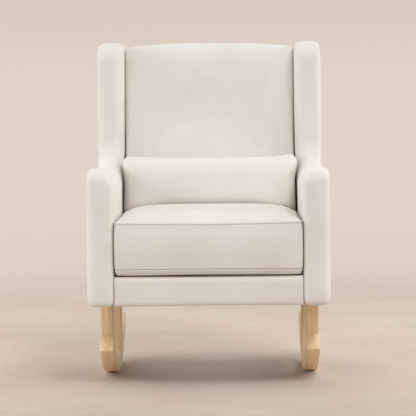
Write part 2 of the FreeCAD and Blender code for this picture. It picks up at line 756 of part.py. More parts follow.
def lumbar_pillow(inset, cushion, back):
    """Knife-edged pillow leaning on the inside back and bedded on the cushion, drawn in by an inset."""
    half_length = INNER - PILLOW_GAP - inset
    half_height = PILLOW_HEIGHT / 2 - inset
    crown = PILLOW_THICKNESS / 2 - inset
    corners = oblong(half_length, half_height)
    radii = [PILLOW_CORNER] * len(corners)
    rear = crown_rings(corners, radii, half_height, PILLOW_SHARES, 0.0, -crown, PILLOW_FULLNESS)
    front = crown_rings(corners, radii, half_height, PILLOW_SHARES, 0.0, crown, PILLOW_FULLNESS)
    form = facing_front(skin(rear[:0:-1] + front))
    form.rotate(Vec(0, 0, 0), Vec(1, 0, 0), -math.degrees(LEAN))
    forward = PAD_BACK + BACK_BOX + BACK_CROWN + PILLOW_THICKNESS / 2 - PILLOW_SINK
    height = CREST + PILLOW_HEIGHT / 2 - PILLOW_SINK
    form = form.translated(Vec(0, *back_point(forward, up_to(height, forward))))
    below = cushion.translated(Vec(0, 0, SOFT_GAP + inset))
    behind = back.translated(Vec(0, -SOFT_GAP - inset, 0))
    return form.cut([below, behind])


def save(name, shape):
    """Writes one piece, with the origin moved to the middle of the footprint."""
    shape.translated(Vec(0, -DEPTH / 2, 0)).exportStep("parts/" + name + ".step")


def save_pair(name, shape):
    save("left_" + name, shape)
    save("right_" + name, mirrored(shape))


def both_sides(shapes):
    return compound(shapes + [mirrored(s) for s in shapes])


def main():
    os.makedirs("parts", exist_ok=True)

    save_pair("runner", runner())
    save_pair("front_leg", leg(True))
    save_pair("rear_leg", leg(False))
    save("leg_dowels", both_sides(dowels(DOWEL_DIAMETER / 2)))
    save("leg_bolts", both_sides(leg_bolts()))

    save_pair("side_frame", side_frame())
    save_pair("side_upholstery", side_upholstery())
    save_pair("wing_pad", wing_pad())
    save("side_bolts", both_sides(side_bolts(side_bolt_seats())))
    save("back_bolts", both_sides(side_bolts(back_bolt_seats())))

    save("front_seat_rail", seat_rail_across(FRONT_RAIL))
    save("rear_seat_rail", seat_rail_across(REAR_RAIL_Y))
    save_pair("seat_rail", seat_rail_side())
    save("seat_corner_blocks", compound(corner_blocks()))
    save("seat_webbing_long", compound(long_straps()))
    save("seat_webbing_cross", compound(cross_straps()))
    save("seat_deck", seat_deck())
    save("dust_cover", dust_cover())
    save("front_border", front_border())

    save_pair("back_post", back_post())
    save("back_top_rail", back_rail(RAIL_TOP_UP - BACK_RAIL))
    save("back_bottom_rail", back_rail(up_to(DECK_TOP, POST_FRONT)))
    save("back_webbing", compound(back_straps()))
    save("outside_back", outside_back())
    save("back_top_pad", back_top_pad())
    back = inside_back()
    save("inside_back", back)

    cushion = seat_cushion()
    save("seat_cushion_cover", cushion.cut(cushion_foam(FILL_GAP)))
    save("seat_cushion_foam", cushion_foam(0.0))
    pillow = lumbar_pillow(0.0, cushion, back)
    save("lumbar_pillow_cover", pillow.cut(lumbar_pillow(PILLOW_COVER, cushion, back)))
    save("lumbar_pillow_fill", lumbar_pillow(PILLOW_COVER + FILL_GAP, cushion, back))


main()
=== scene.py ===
# %% [markdown]
# # An upholstered wing-back rocker
# The solids of the chair are loaded as a fixed frame, which is never moved. This lesson dresses it: each
# padded piece is modelled by hand, swollen a little with a cloth simulation and given a woven cover, the
# wooden runners are bent and rounded, and a soft studio with one camera is set up round the chair.

# %% Load the frame
import bmesh
import bpy
import json
import math
import numpy
from mathutils import Euler, Matrix, Vector
from mathutils.kdtree import KDTree


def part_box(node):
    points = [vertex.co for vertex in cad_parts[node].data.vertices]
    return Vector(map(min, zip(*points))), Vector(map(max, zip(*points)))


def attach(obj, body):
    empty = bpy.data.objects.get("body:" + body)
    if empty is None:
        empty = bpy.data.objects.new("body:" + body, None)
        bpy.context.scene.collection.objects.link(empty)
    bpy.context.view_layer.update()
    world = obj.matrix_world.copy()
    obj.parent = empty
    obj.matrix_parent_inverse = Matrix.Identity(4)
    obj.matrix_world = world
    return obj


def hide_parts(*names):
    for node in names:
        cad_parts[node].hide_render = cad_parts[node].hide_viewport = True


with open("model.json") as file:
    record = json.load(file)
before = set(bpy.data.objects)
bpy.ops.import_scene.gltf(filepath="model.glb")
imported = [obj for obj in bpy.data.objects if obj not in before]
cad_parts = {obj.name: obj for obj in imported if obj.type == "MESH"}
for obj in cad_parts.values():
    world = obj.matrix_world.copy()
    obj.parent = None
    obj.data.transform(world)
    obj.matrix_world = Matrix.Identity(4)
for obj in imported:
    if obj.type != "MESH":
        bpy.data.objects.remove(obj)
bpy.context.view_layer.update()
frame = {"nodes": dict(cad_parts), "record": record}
scene = bpy.context.scene

# %% [markdown]
# ## The camera
# The photograph was taken from straight ahead with a long lens, a little below the wing tops, so that
# the arm tops are seen almost edge on. A camera can be placed by eye, but here its place was worked out
# from the chair's own corners, so that every edge falls where the photograph has it. The picture leans by
# about half a degree, so the camera is rolled by the same amount.

# %% Place the camera
CAMERA_PLACE = Vector((0.0768, -6.425, 0.8667))
LENS, SENSOR = 176.8, 36           # millimetres
PITCH, YAW, ROLL = math.radians(3.132), math.radians(0.73), math.radians(0.598)

bpy.ops.object.select_all(action="DESELECT")
bpy.ops.object.camera_add(location=CAMERA_PLACE)
camera = bpy.context.object
camera.name = "photo_camera"
camera.data.lens = LENS
camera.data.sensor_width = SENSOR
aim = Euler((math.pi / 2 - PITCH, 0, YAW)).to_matrix() @ Matrix.Rotation(-ROLL, 3, "Z")
camera.rotation_euler = aim.to_euler()
scene.camera = camera
print("camera at", tuple(round(v, 3) for v in camera.location), "lens", LENS)

# %% [markdown]
# ## Two small tools for materials
# Colours are written as the hex values that a colour picker shows, and one function turns them to the
# linear values that the shader works with. A second function adds a node, sets it up and links it, so that
# each material below reads as a short list of nodes.

# %% Tools for materials
def linear(hex_colour):
    """sRGB hex, such as E8E1D9, to linear red, green, blue and alpha."""
    channels = [int(hex_colour[i:i + 2], 16) / 255 for i in (0, 2, 4)]
    bent = [c / 12.92 if c <= 0.04045 else ((c + 0.055) / 1.055) ** 2.4 for c in channels]
    return (*bent, 1.0)


def add_node(material, kind, settings=None, stops=(), **links):
    """Adds a node with its attributes, the (place, hex) stops of a colour ramp, and its sockets' inputs."""
    made = material.node_tree.nodes.new(kind)
    for name, value in (settings or {}).items():
        setattr(made, name, value)
    while stops and len(made.color_ramp.elements) < len(stops):
        made.color_ramp.elements.new(0.5)
    for number, (place, colour) in enumerate(stops):
        made.color_ramp.elements[number].position = place
        made.color_ramp.elements[number].color = linear(colour)
    for name, value in links.items():
        socket = made.inputs[int(name[1:])] if name[1:].isdigit() else made.inputs[name.replace("_", " ")]
        if isinstance(value, bpy.types.NodeSocket):
            material.node_tree.links.new(value, socket)
        else:
            socket.default_value = value
    return made


def new_material(name):
    """An empty material with its shader and output; returns the material and the shader."""
    material = bpy.data.materials.new(name)
    material.use_nodes = True
    shader = material.node_tree.nodes["Principled BSDF"]
    return material, shader


def even_stops(tones):
    """Spreads tones evenly over a colour ramp."""
    return [(number / (len(tones) - 1), tone) for number, tone in enumerate(tones)]


MM = 0.001
print("tools ready")

# %% [markdown]
# ## Ivory upholstery cloth
# The cover is a plain-woven polyester and linen mix in ivory: matt, smooth from a distance, with
# slightly uneven yarns. A weave shows as two crossed sets of fine ribs. They could be drawn on unwrapped
# panels, but padded pieces curve all ways, so bands along all three axes are added up instead: whichever
# way a surface faces, two sets cross on it and the third is level. The real yarns are under a millimetre
# apart, too fine to show here, so they are drawn 2.4 mm apart.

# %% Upholstery cloth
YARN = 2.4 * MM
WANDER, SLUBS = 0.06, 0.35          # bends and thick places of the yarns, per yarn
CLOUDS = 7.0                        # soft clouds of tone, per metre: each is about 140 mm


def woven(name, tones, yarn, rib, slub, sheen, roughness):
    """A plain weave: crossed ribs as bump, uneven yarns and a soft cloudy tone as colour."""
    material, shader = new_material(name)
    place = add_node(material, "ShaderNodeTexCoord").outputs["Object"]
    wobble = add_node(material, "ShaderNodeTexNoise", Vector=place, Scale=WANDER / yarn, Detail=2.0)
    shift = add_node(material, "ShaderNodeVectorMath", {"operation": "SCALE"},
                     _0=wobble.outputs["Color"], Scale=yarn * 2)
    moved = add_node(material, "ShaderNodeVectorMath", {"operation": "ADD"}, _0=place, _1=shift.outputs[0])
    ribs = None
    for axis in "XYZ":
        band = add_node(material, "ShaderNodeTexWave", {"bands_direction": axis, "wave_profile": "SIN"},
                        Vector=moved.outputs[0], Scale=math.pi / 10 / yarn).outputs["Fac"]
        if ribs is None:
            ribs = band
        else:
            ribs = add_node(material, "ShaderNodeMath", {"operation": "ADD"}, _0=ribs, _1=band).outputs[0]
    yarns = add_node(material, "ShaderNodeTexNoise", Vector=place, Scale=SLUBS / yarn, Detail=3.0)
    clouds = add_node(material, "ShaderNodeTexNoise", Vector=place, Scale=CLOUDS, Detail=3.0)
    mixed = add_node(material, "ShaderNodeMath", {"operation": "MULTIPLY_ADD"},
                     _0=yarns.outputs["Fac"], _1=slub, _2=clouds.outputs["Fac"])
    tone = add_node(material, "ShaderNodeMapRange", Value=mixed.outputs[0],
                    _1=0.25 + slub * 0.3, _2=0.75 + slub * 0.7)
    colour = add_node(material, "ShaderNodeValToRGB", stops=even_stops(tones), _0=tone.outputs[0]).outputs[0]
    height = add_node(material, "ShaderNodeMath", {"operation": "MULTIPLY_ADD"},
                      _0=ribs, _1=0.33, _2=yarns.outputs["Fac"])
    bump = add_node(material, "ShaderNodeBump", Strength=rib, Distance=yarn * 0.25, Height=height.outputs[0])
    links = material.node_tree.links
    links.new(colour, shader.inputs["Base Color"])
    links.new(bump.outputs[0], shader.inputs["Normal"])
    shader.inputs["Roughness"].default_value = roughness
    shader.inputs["Sheen Weight"].default_value = sheen
    shader.inputs["Sheen Roughness"].default_value = 0.5
    shader.inputs["IOR"].default_value = 1.45
    shader.inputs["Specular IOR Level"].default_value = 0.25
    return material


cover = woven("ivory_linen_mix_cover", ["E3DCD5", "E8E2DC", "EDE8E3"], YARN, 0.25, 0.5, 0.12, 0.9)
print(cover.name, "with yarns", YARN / MM, "mm apart")

# %% [markdown]
# ## Light oak
# Legs and runners are light oak with a clear satin oil: honey-coloured, straight-grained, with fine
# darker pores stretched along the grain. Stretched noise gives both and needs no picture of wood. Grain
# follows the length of each piece: on the legs that is straight up, and on a runner it follows the bend,
# so there the place is turned into distance round the bend.

# %% Oak for legs and runners
RUNNER_RADIUS = 0.700
GRAIN = 7 * MM                      # width of a growth band
GROWTH_STRETCH, PORE_STRETCH = (1.0, 0.22, 0.06), (1.0, 0.4, 0.025)
runner_low, runner_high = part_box("left_runner")
RUNNER_CENTRE = Vector((0, (runner_low.y + runner_high.y) / 2, RUNNER_RADIUS))


def around_bend(material, place):
    """Place as seen along a runner: across, out from the middle of the bend, and along the bend."""
    from_centre = add_node(material, "ShaderNodeVectorMath", {"operation": "SUBTRACT"}, _0=place,
                           _1=tuple(RUNNER_CENTRE)).outputs[0]
    parts = add_node(material, "ShaderNodeSeparateXYZ", _0=from_centre)
    x, y, z = parts.outputs
    down = add_node(material, "ShaderNodeMath", {"operation": "MULTIPLY"}, _0=z, _1=-1.0).outputs[0]
    angle = add_node(material, "ShaderNodeMath", {"operation": "ARCTAN2"}, _0=y, _1=down).outputs[0]
    along = add_node(material, "ShaderNodeMath", {"operation": "MULTIPLY"}, _0=angle,
                     _1=RUNNER_RADIUS).outputs[0]
    flat = add_node(material, "ShaderNodeCombineXYZ", _1=y, _2=z).outputs[0]
    out = add_node(material, "ShaderNodeVectorMath", {"operation": "LENGTH"}, _0=flat).outputs["Value"]
    return add_node(material, "ShaderNodeCombineXYZ", _0=x, _1=out, _2=along).outputs[0]


def timber(name, tones, bent, roughness):
    """Straight-grained timber: broad growth bands, fine pores and a satin finish."""
    material, shader = new_material(name)
    place = add_node(material, "ShaderNodeTexCoord").outputs["Object"]
    if bent:
        place = around_bend(material, place)
    stretched = add_node(material, "ShaderNodeMapping", _0=place, Scale=GROWTH_STRETCH).outputs[0]
    growth = add_node(material, "ShaderNodeTexNoise", Vector=stretched, Scale=0.5 / GRAIN, Detail=3.0,
                      Distortion=0.6).outputs["Fac"]
    pore_place = add_node(material, "ShaderNodeMapping", _0=place, Scale=PORE_STRETCH).outputs[0]
    pores = add_node(material, "ShaderNodeTexNoise", Vector=pore_place, Scale=3.0 / GRAIN,
                     Detail=2.0).outputs["Fac"]
    mixed = add_node(material, "ShaderNodeMath", {"operation": "MULTIPLY_ADD"},
                     _0=pores, _1=0.45, _2=growth).outputs[0]
    tone = add_node(material, "ShaderNodeMapRange", Value=mixed, _1=0.5, _2=0.95).outputs[0]
    colour = add_node(material, "ShaderNodeValToRGB", stops=even_stops(tones), _0=tone).outputs[0]
    bump = add_node(material, "ShaderNodeBump", Strength=0.12, Distance=0.3 * MM, Height=pores).outputs[0]
    gloss = add_node(material, "ShaderNodeMapRange", Value=pores, _3=roughness - 0.06, _4=roughness + 0.08)
    links = material.node_tree.links
    links.new(colour, shader.inputs["Base Color"])
    links.new(bump, shader.inputs["Normal"])
    links.new(gloss.outputs[0], shader.inputs["Roughness"])
    shader.inputs["IOR"].default_value = 1.5
    return material


OAK_TONES, SATIN, SAWN = ["DDB887", "EDCA9E", "F5DAB4"], 0.42, 0.7
oak_leg = timber("light_oak_satin_leg", OAK_TONES, False, SATIN)
oak_runner = timber("light_oak_satin_runner", OAK_TONES, True, SATIN)
frame_wood = timber("plain_sawn_frame_wood", ["BF9B6B", "CDAE82", "D9BE95"], False, SAWN)
print("timber:", oak_leg.name, oak_runner.name, frame_wood.name)

# %% [markdown]
# ## Materials that hide under the cover
# Webbing is jute, coarse and brown; the deck is plain cotton, pale and matt; the dust cover under the seat
# is black spun-bonded cloth, flat and dark; the cushion core is foam and the bolts are zinc-plated steel.
# They show only when a cushion is lifted or the chair is looked at from below, so the three cloths are the
# same weave as the cover with other tones and yarns.

# %% Hidden materials
jute = woven("woven_jute_webbing", ["8A7350", "A08760", "B39A72"], 3.0 * MM, 0.5, 0.6, 0.0, 0.95)
deck_cotton = woven("plain_cotton_deck_cloth", ["CFC6B8", "D8D0C3", "DED7CB"], 1.8 * MM, 0.3, 0.4, 0.05, 0.9)
dust_cloth = woven("black_spun_bond_dust_cloth", ["19191A", "202021", "29292A"], 1.5 * MM,
                   0.3, 0.5, 0.1, 0.85)
FOAM_CELL, PLATING_SPOT = 2.0 * MM, 3.0 * MM


def cut_foam():
    """Cut foam: pale yellow open cells that scatter light, so the surface is matt and pitted."""
    material, shader = new_material("cut_open_cell_foam")
    place = add_node(material, "ShaderNodeTexCoord").outputs["Object"]
    cells = add_node(material, "ShaderNodeTexVoronoi", Vector=place, Scale=1 / FOAM_CELL).outputs["Distance"]
    colour = add_node(material, "ShaderNodeValToRGB", stops=[(0.0, "D8CBA0"), (0.6, "EBE1BE")],
                      _0=cells).outputs[0]
    bump = add_node(material, "ShaderNodeBump", Strength=0.4, Distance=0.5 * MM, Height=cells).outputs[0]
    material.node_tree.links.new(colour, shader.inputs["Base Color"])
    material.node_tree.links.new(bump, shader.inputs["Normal"])
    shader.inputs["Roughness"].default_value = 0.95
    return material


def zinc_steel():
    """Zinc-plated steel: grey metal with a faint mottled plating."""
    material, shader = new_material("zinc_plated_steel")
    place = add_node(material, "ShaderNodeTexCoord").outputs["Object"]
    mottle = add_node(material, "ShaderNodeTexNoise", Vector=place, Scale=1 / PLATING_SPOT,
                      Detail=3.0).outputs["Fac"]
    colour = add_node(material, "ShaderNodeValToRGB", stops=[(0.3, "9FA0A0"), (0.7, "BDBEBC")],
                      _0=mottle).outputs[0]
    gloss = add_node(material, "ShaderNodeMapRange", Value=mottle, _3=0.32, _4=0.5).outputs[0]
    material.node_tree.links.new(colour, shader.inputs["Base Color"])
    material.node_tree.links.new(gloss, shader.inputs["Roughness"])
    shader.inputs["Metallic"].default_value = 1.0
    return material


foam = cut_foam()
steel = zinc_steel()
print("hidden:", jute.name, deck_cotton.name, dust_cloth.name, foam.name, steel.name)

# %% [markdown]
# ## Tools for modelling
# Every padded piece starts as a block of the right size and is shaped in edit mode: points, edges or faces
# are picked by their place, then moved, drawn out, cut or bevelled. By hand they would be picked with the
# mouse; a test of their place does the same and keeps working when a size changes.

# %% Tools for modelling
def only(obj):
    """Makes one object the only selected and active one."""
    bpy.ops.object.select_all(action="DESELECT")
    obj.select_set(True)
    bpy.context.view_layer.objects.active = obj


def block(name, low, high):
    """A box between two corners, with its place in its mesh."""
    low, high = Vector(low), Vector(high)
    bpy.ops.object.select_all(action="DESELECT")
    bpy.ops.mesh.primitive_cube_add(size=1, location=(low + high) / 2)
    made = bpy.context.object
    made.scale = high - low
    bpy.ops.object.transform_apply(location=True, rotation=True, scale=True)
    made.name = made.data.name = name
    return made


def edit(obj):
    only(obj)
    bpy.ops.object.mode_set(mode="EDIT")


def done():
    bpy.ops.object.mode_set(mode="OBJECT")


def pick(obj, kind, test):
    """In edit mode, selects the vertices, edges or faces that pass a test, and says how many."""
    bpy.ops.mesh.select_mode(type=kind)
    bpy.ops.mesh.select_all(action="DESELECT")
    mesh = bmesh.from_edit_mesh(obj.data)
    mesh.normal_update()
    parts = {"VERT": mesh.verts, "EDGE": mesh.edges, "FACE": mesh.faces}[kind]
    count = 0
    for part in parts:
        if test(part):
            part.select_set(True)
            count += 1
    mesh.select_flush_mode()
    bmesh.update_edit_mesh(obj.data)
    return count


def near(a, b):
    return abs(a - b) < 1e-4


def runs_along(edge, axis):
    """True for an edge that keeps its place in the other two axes."""
    a, b = edge.verts[0].co, edge.verts[1].co
    return all(near(a[i], b[i]) for i in range(3) if i != axis)


def middle(edge):
    return (edge.verts[0].co + edge.verts[1].co) / 2


def cut_level(place, normal):
    """Cuts the whole mesh that is being edited along a plane."""
    bpy.ops.mesh.select_all(action="SELECT")
    bpy.ops.mesh.bisect(plane_co=place, plane_no=normal)


def steps(start, end, size):
    """Even places between two ends, about a size apart, without the ends."""
    count = max(1, round((end - start) / size))
    return [start + (end - start) * i / count for i in range(1, count)]


def sliced_block(name, low, high, xs, ys, zs):
    """A block cut into an even net of quads at given places along each axis."""
    made = block(name, low, high)
    edit(made)
    for axis, places in enumerate((xs, ys, zs)):
        normal = [1.0 if i == axis else 0.0 for i in range(3)]
        for place in places:
            cut_level([place * n for n in normal], normal)
    done()
    return made


def reshape(obj, rule):
    """Moves every point to where a rule puts it, as a sculptor would push the form."""
    for point in obj.data.vertices:
        point.co = rule(point.co.copy())
    obj.data.update()


def ease(value, start, end):
    """0 before the start, 1 after the end and a smooth rise between them."""
    share = min(1.0, max(0.0, (value - start) / (end - start)))
    return share * share * (3 - 2 * share)


def round_corner(x, y, half_x, half_y, radius):
    """Bends the corner of an oblong into a rounded one; points away from the corners stay."""
    over_x, over_y = abs(x) - (half_x - radius), abs(y) - (half_y - radius)
    if over_x <= 0 or over_y <= 0:
        return x, y
    new_x = over_x * math.sqrt(max(0, 1 - over_y ** 2 / (2 * radius ** 2)))
    new_y = over_y * math.sqrt(max(0, 1 - over_x ** 2 / (2 * radius ** 2)))
    return math.copysign(half_x - radius + new_x, x), math.copysign(half_y - radius + new_y, y)


def apply_all(obj):
    """Applies every modifier in order."""
    only(obj)
    for name in [m.name for m in obj.modifiers]:
        bpy.ops.object.modifier_apply(modifier=name)


print("modelling tools ready")

# %% [markdown]
# ## Swelling a piece with the cloth simulation
# Padding pushes its cover outwards until the seams hold it. It could be sculpted, but a simulation finds
# the fullness by itself: the shaped block has an even mesh, a cloth with a little air pressure runs for
# twenty frames without gravity, and no point may move further than a cap, which stands for the seams and
# the frame that hold the cover back.

# %% Swelling
SWELL_FRAMES, CLOTH_QUALITY = 20, 4
CALM_ROUNDS = 12                    # how often the moves of neighbours are averaged


def places(mesh):
    """The places of all points as rows of numbers."""
    flat = numpy.empty(len(mesh.vertices) * 3)
    mesh.vertices.foreach_get("co", flat)
    return flat.reshape(-1, 3)


def swell(obj, cap, pressure, held=None):
    """Lets a piece swell; moves are calmed between neighbours, eased to a cap and held at the sides."""
    rest = places(obj.data)
    moves = numpy.zeros_like(rest)
    cloth = obj.modifiers.new("cloth", "CLOTH")
    cloth.settings.use_pressure = True
    cloth.settings.uniform_pressure_force = pressure
    cloth.settings.effector_weights.gravity = 0
    cloth.settings.quality = CLOTH_QUALITY
    for number in range(1, SWELL_FRAMES + 1):
        scene.frame_set(number)
    moves = places(obj.evaluated_get(bpy.context.evaluated_depsgraph_get()).data) - rest
    obj.modifiers.remove(cloth)
    scene.frame_set(1)
    reach = numpy.linalg.norm(moves, axis=1, keepdims=True)
    moves *= cap * numpy.tanh(reach / cap) / numpy.maximum(reach, 1e-9)
    ends = numpy.array([edge.vertices[:] for edge in obj.data.edges])
    neighbours = numpy.bincount(ends.ravel(), minlength=len(rest))[:, None]
    for _ in range(CALM_ROUNDS):
        around = numpy.zeros_like(moves)
        numpy.add.at(around, ends[:, 0], moves[ends[:, 1]])
        numpy.add.at(around, ends[:, 1], moves[ends[:, 0]])
        moves = (moves + around / neighbours) / 2
    final = rest + moves
    if held:
        final[:, 0] = final[:, 0].clip(-held, held)
    obj.data.vertices.foreach_set("co", final.ravel())
    obj.data.update()
    print(obj.name, "points", len(rest), "pushed by up to", round(reach.max() / MM, 1), "mm")


print("a piece swells for", SWELL_FRAMES, "frames")

# %% [markdown]
# ## Finishing a padded piece
# A bevelled block has long thin faces, which a cloth can't swell, so it is first given an even mesh. A seam
# is a valley, because two panels are sewn face to face and the thread pulls them in. It could be a bump in
# the material, but a real valley also shows in the outline: the seam's edges are bevelled into a narrow
# band whose middle is drawn in.

# %% Even meshes and seams
SEAM_CORE = 0.35                    # share of a seam's width that is drawn in


def even_out(obj, voxel, rounds):
    """Gives a modelled form an even mesh and eases the small steps that this leaves."""
    even = obj.modifiers.new("even", "REMESH")
    even.mode = "VOXEL"
    even.voxel_size = voxel
    eased = obj.modifiers.new("eased", "SMOOTH")
    eased.factor = 0.5
    eased.iterations = rounds
    apply_all(obj)


def subdivide(obj):
    """One round of subdivision, applied, and smooth shading."""
    finer = obj.modifiers.new("finer", "SUBSURF")
    finer.levels = finer.render_levels = 1
    apply_all(obj)
    bpy.ops.object.shade_smooth()


def mark_seam(obj, name, test):
    """Keeps the points of a seam as a group, which lasts while the piece swells and is subdivided."""
    group = obj.vertex_groups.new(name=name)
    group.add([point.index for point in obj.data.vertices if test(point.co)], 1.0, "REPLACE")


def sew(obj, name, width, depth):
    """Opens the line of a seam into a narrow band and draws its middle in, as thread does."""
    number = obj.vertex_groups[name].index
    rows = {v.index for v in obj.data.vertices for g in v.groups if g.group == number and g.weight > 0.99}
    line = KDTree(len(rows))
    for index in rows:
        line.insert(obj.data.vertices[index].co, index)
    line.balance()
    edit(obj)
    found = pick(obj, "EDGE", lambda e: e.verts[0].index in rows and e.verts[1].index in rows)
    bpy.ops.mesh.bevel(offset=width / 2, segments=2, affect="EDGES")
    done()
    for point in obj.data.vertices:
        if line.find(point.co)[2] < width * SEAM_CORE:
            point.co = point.co - point.normal * depth
    obj.data.update()
    print(obj.name, name, "of", found, "stitched edges")


def finish_piece(obj, body, material, slot, *nodes):
    """Gives a piece its cover and its body, and hides the solids that it stands for."""
    obj.data.materials.clear()
    obj.data.materials.append(material)
    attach(obj, body)
    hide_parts(*nodes)


print("seams are drawn in over", SEAM_CORE, "of their width")

# %% [markdown]
# ## Side units
# Arm and wing are one upholstered slab, so they are modelled as one piece and not as two that meet. It
# starts as the block of the arm. The block is cut where the wing begins, the part behind the cut is drawn
# up, the arm top is tilted and the rear edge is leaned back.

# %% Model the outline of the left side unit
LEAN = 0.19306                      # lean of the back and the rear edge, in radians
REAR_FOOT_Y, REAR_FOOT_Z = 0.280, 0.250    # foot of the rear edge
side_low, side_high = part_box("left_side_upholstery")
PUFF = 0.0010                       # the block starts this much inside the solid, for the swelling
INNER_X, OUTER_X = side_low.x + PUFF, side_high.x - PUFF
FRONT_Y, REAR_Y = side_low.y + PUFF, REAR_FOOT_Y - PUFF
FOOT_SPARE, TOP_SPARE = 0.005, 0.002    # rounding the edges takes these off again
FOOT_Z, TOP_Z = side_low.z - FOOT_SPARE, side_high.z + TOP_SPARE
ARM_Z, ARM_REAR_Z = 0.657 - PUFF, 0.641 - PUFF    # arm top at its front and at the wing
WING_FOOT_Y, WING_TOP_Y = 0.149 + PUFF, 0.153 + PUFF


def rear_at(height):
    return REAR_Y + (height - FOOT_Z) * math.tan(LEAN)


side = block("left_side_unit", (INNER_X, FRONT_Y, FOOT_Z), (OUTER_X, rear_at(TOP_Z), ARM_Z))
edit(side)
cut_level((0, WING_FOOT_Y, 0), (0, 1, 0))
pick(side, "FACE", lambda f: f.normal.z > 0.9 and f.calc_center_median().y > WING_FOOT_Y)
bpy.ops.mesh.extrude_region_move(TRANSFORM_OT_translate={"value": (0, 0, TOP_Z - ARM_Z)})
pick(side, "VERT", lambda v: near(v.co.z, TOP_Z) and near(v.co.y, WING_FOOT_Y))
bpy.ops.transform.translate(value=(0, WING_TOP_Y - WING_FOOT_Y, 0))
pick(side, "VERT", lambda v: near(v.co.z, ARM_Z) and near(v.co.y, WING_FOOT_Y))
bpy.ops.transform.translate(value=(0, 0, ARM_REAR_Z - ARM_Z))
pick(side, "VERT", lambda v: near(v.co.z, ARM_Z) and near(v.co.y, rear_at(TOP_Z)))
bpy.ops.transform.translate(value=(0, rear_at(ARM_Z) - rear_at(TOP_Z), 0))
pick(side, "VERT", lambda v: near(v.co.z, FOOT_Z) and near(v.co.y, rear_at(TOP_Z)))
bpy.ops.transform.translate(value=(0, REAR_Y - rear_at(TOP_Z), 0))
bpy.ops.mesh.select_all(action="SELECT")
bpy.ops.mesh.dissolve_limited(angle_limit=0.01)
print("outline of", len(bmesh.from_edit_mesh(side.data).faces), "faces")

# %% [markdown]
# Each corner of the outline has its own rounding: tight at the foot, wide where the arm sweeps up into the
# wing. Then the rims of both faces are rounded, the outer one more than the seat side. A bevel with one
# size for all edges would be quicker and would lose that sweep.

# %% Round its corners and rims
CORNER_STEPS, RIM_STEPS = 8, 5
RIMS = ((1, 0.0175), (-1, 0.0110))  # outer and inner face, and how far back the rounding starts
SIDE_VOXEL, SIDE_EASING = 0.0065, 5

# Corner of the outline (y, z) and how far back along its edges the rounding starts
corners = [
    (FRONT_Y, ARM_Z, 0.046),
    (WING_FOOT_Y, ARM_REAR_Z, 0.0915),
    (WING_TOP_Y, TOP_Z, 0.0615),
    (rear_at(TOP_Z), TOP_Z, 0.053),
    (FRONT_Y, FOOT_Z, 0.014),
    (REAR_Y, FOOT_Z, 0.014),
]
for y, z, back in corners:
    found = pick(side, "EDGE",
                 lambda e: runs_along(e, 0) and near(middle(e).y, y) and near(middle(e).z, z))
    bpy.ops.mesh.bevel(offset=back, segments=CORNER_STEPS, affect="EDGES")
    print("corner", round(y, 3), round(z, 3), "edges", found)


def on_rim(edge, hand):
    flat = [f.normal.x * hand > 0.99 for f in edge.link_faces]
    return any(flat) and not all(flat)


for hand, size in RIMS:
    print("rim edges", pick(side, "EDGE", lambda e: on_rim(e, hand)))
    bpy.ops.mesh.bevel(offset=size, segments=RIM_STEPS, affect="EDGES")
done()
even_out(side, SIDE_VOXEL, SIDE_EASING)

# %% [markdown]
# Two forms are easier to push than to bevel: the top of the arm rolls over towards the seat in a large
# soft curve, and the inside of the wing has padding, which starts just above the arm. A sculptor would push
# them with a brush; here a rule moves every point.

# %% Roll the arm and pad the wing
ARM_ROLL = Vector((0.034, 0.056))   # across the arm and down its inner face
WING_ROLL = Vector((0.024, 0.024))
ROLL_CHANGE = (0.03, 0.16)          # heights above the arm between which one roll becomes the other
SWEEP = 0.0935                      # radius of the bend from the arm top into the wing front
WING_PAD = 0.0040                   # thickness of the padding inside the wing
PAD_RISE, PAD_MARGIN = (0.0, 0.06), (0.010, 0.040)    # where it starts above the arm and behind the edge
PAD_SKIN = (0.002, 0.008)           # only points this near to the inner face are moved


def along(place, start, end):
    """Value at a place on the straight line between two corners of the outline."""
    return start[1] + (end[1] - start[1]) * (place - start[0]) / (end[0] - start[0])


def from_edge(y, z):
    """How deep a point lies behind the arm top and wing front, and the direction out of that edge."""
    behind = y - along(z, (ARM_REAR_Z, WING_FOOT_Y), (TOP_Z, WING_TOP_Y))
    above = z - along(y, (FRONT_Y, ARM_Z), (WING_FOOT_Y, ARM_REAR_Z))
    if behind < -SWEEP:
        return -above, 0.0, 1.0, above
    if above > SWEEP:
        return behind, -1.0, 0.0, above
    reach = math.hypot(behind + SWEEP, SWEEP - above)
    return reach - SWEEP, -(behind + SWEEP) / reach, (SWEEP - above) / reach, above


def side_form(p):
    """Rolled arm top and wing edge on the seat side, padded inside of the wing."""
    x, y, z = p
    depth, out_y, out_z, above = from_edge(y, z)
    across, down = ARM_ROLL.lerp(WING_ROLL, ease(above, *ROLL_CHANGE))
    over, up = 1 - (x - INNER_X) / across, min(1.0, 1 - depth / down)
    if over > 0 and up > 0:
        x += across * over * (1 - math.sqrt(1 - up ** 2 / 2))
        sink = down * up * (1 - math.sqrt(max(0.0, 1 - over ** 2 / 2)))
        y, z = y - sink * out_y, z - sink * out_z
    inside = 1 - ease(p.x - INNER_X, *PAD_SKIN)
    x -= WING_PAD * inside * ease(above, *PAD_RISE) * ease(depth, *PAD_MARGIN)
    return Vector((x, y, z))


reshape(side, side_form)
swell(side, cap=0.0025, pressure=1.0)
bpy.ops.object.shade_smooth()

# %% [markdown]
# The right side unit is the left one mirrored. A live mirror would keep both in one object, but they are
# two pieces, so a copy is mirrored. That turns its faces inside out, so its normals are recalculated.

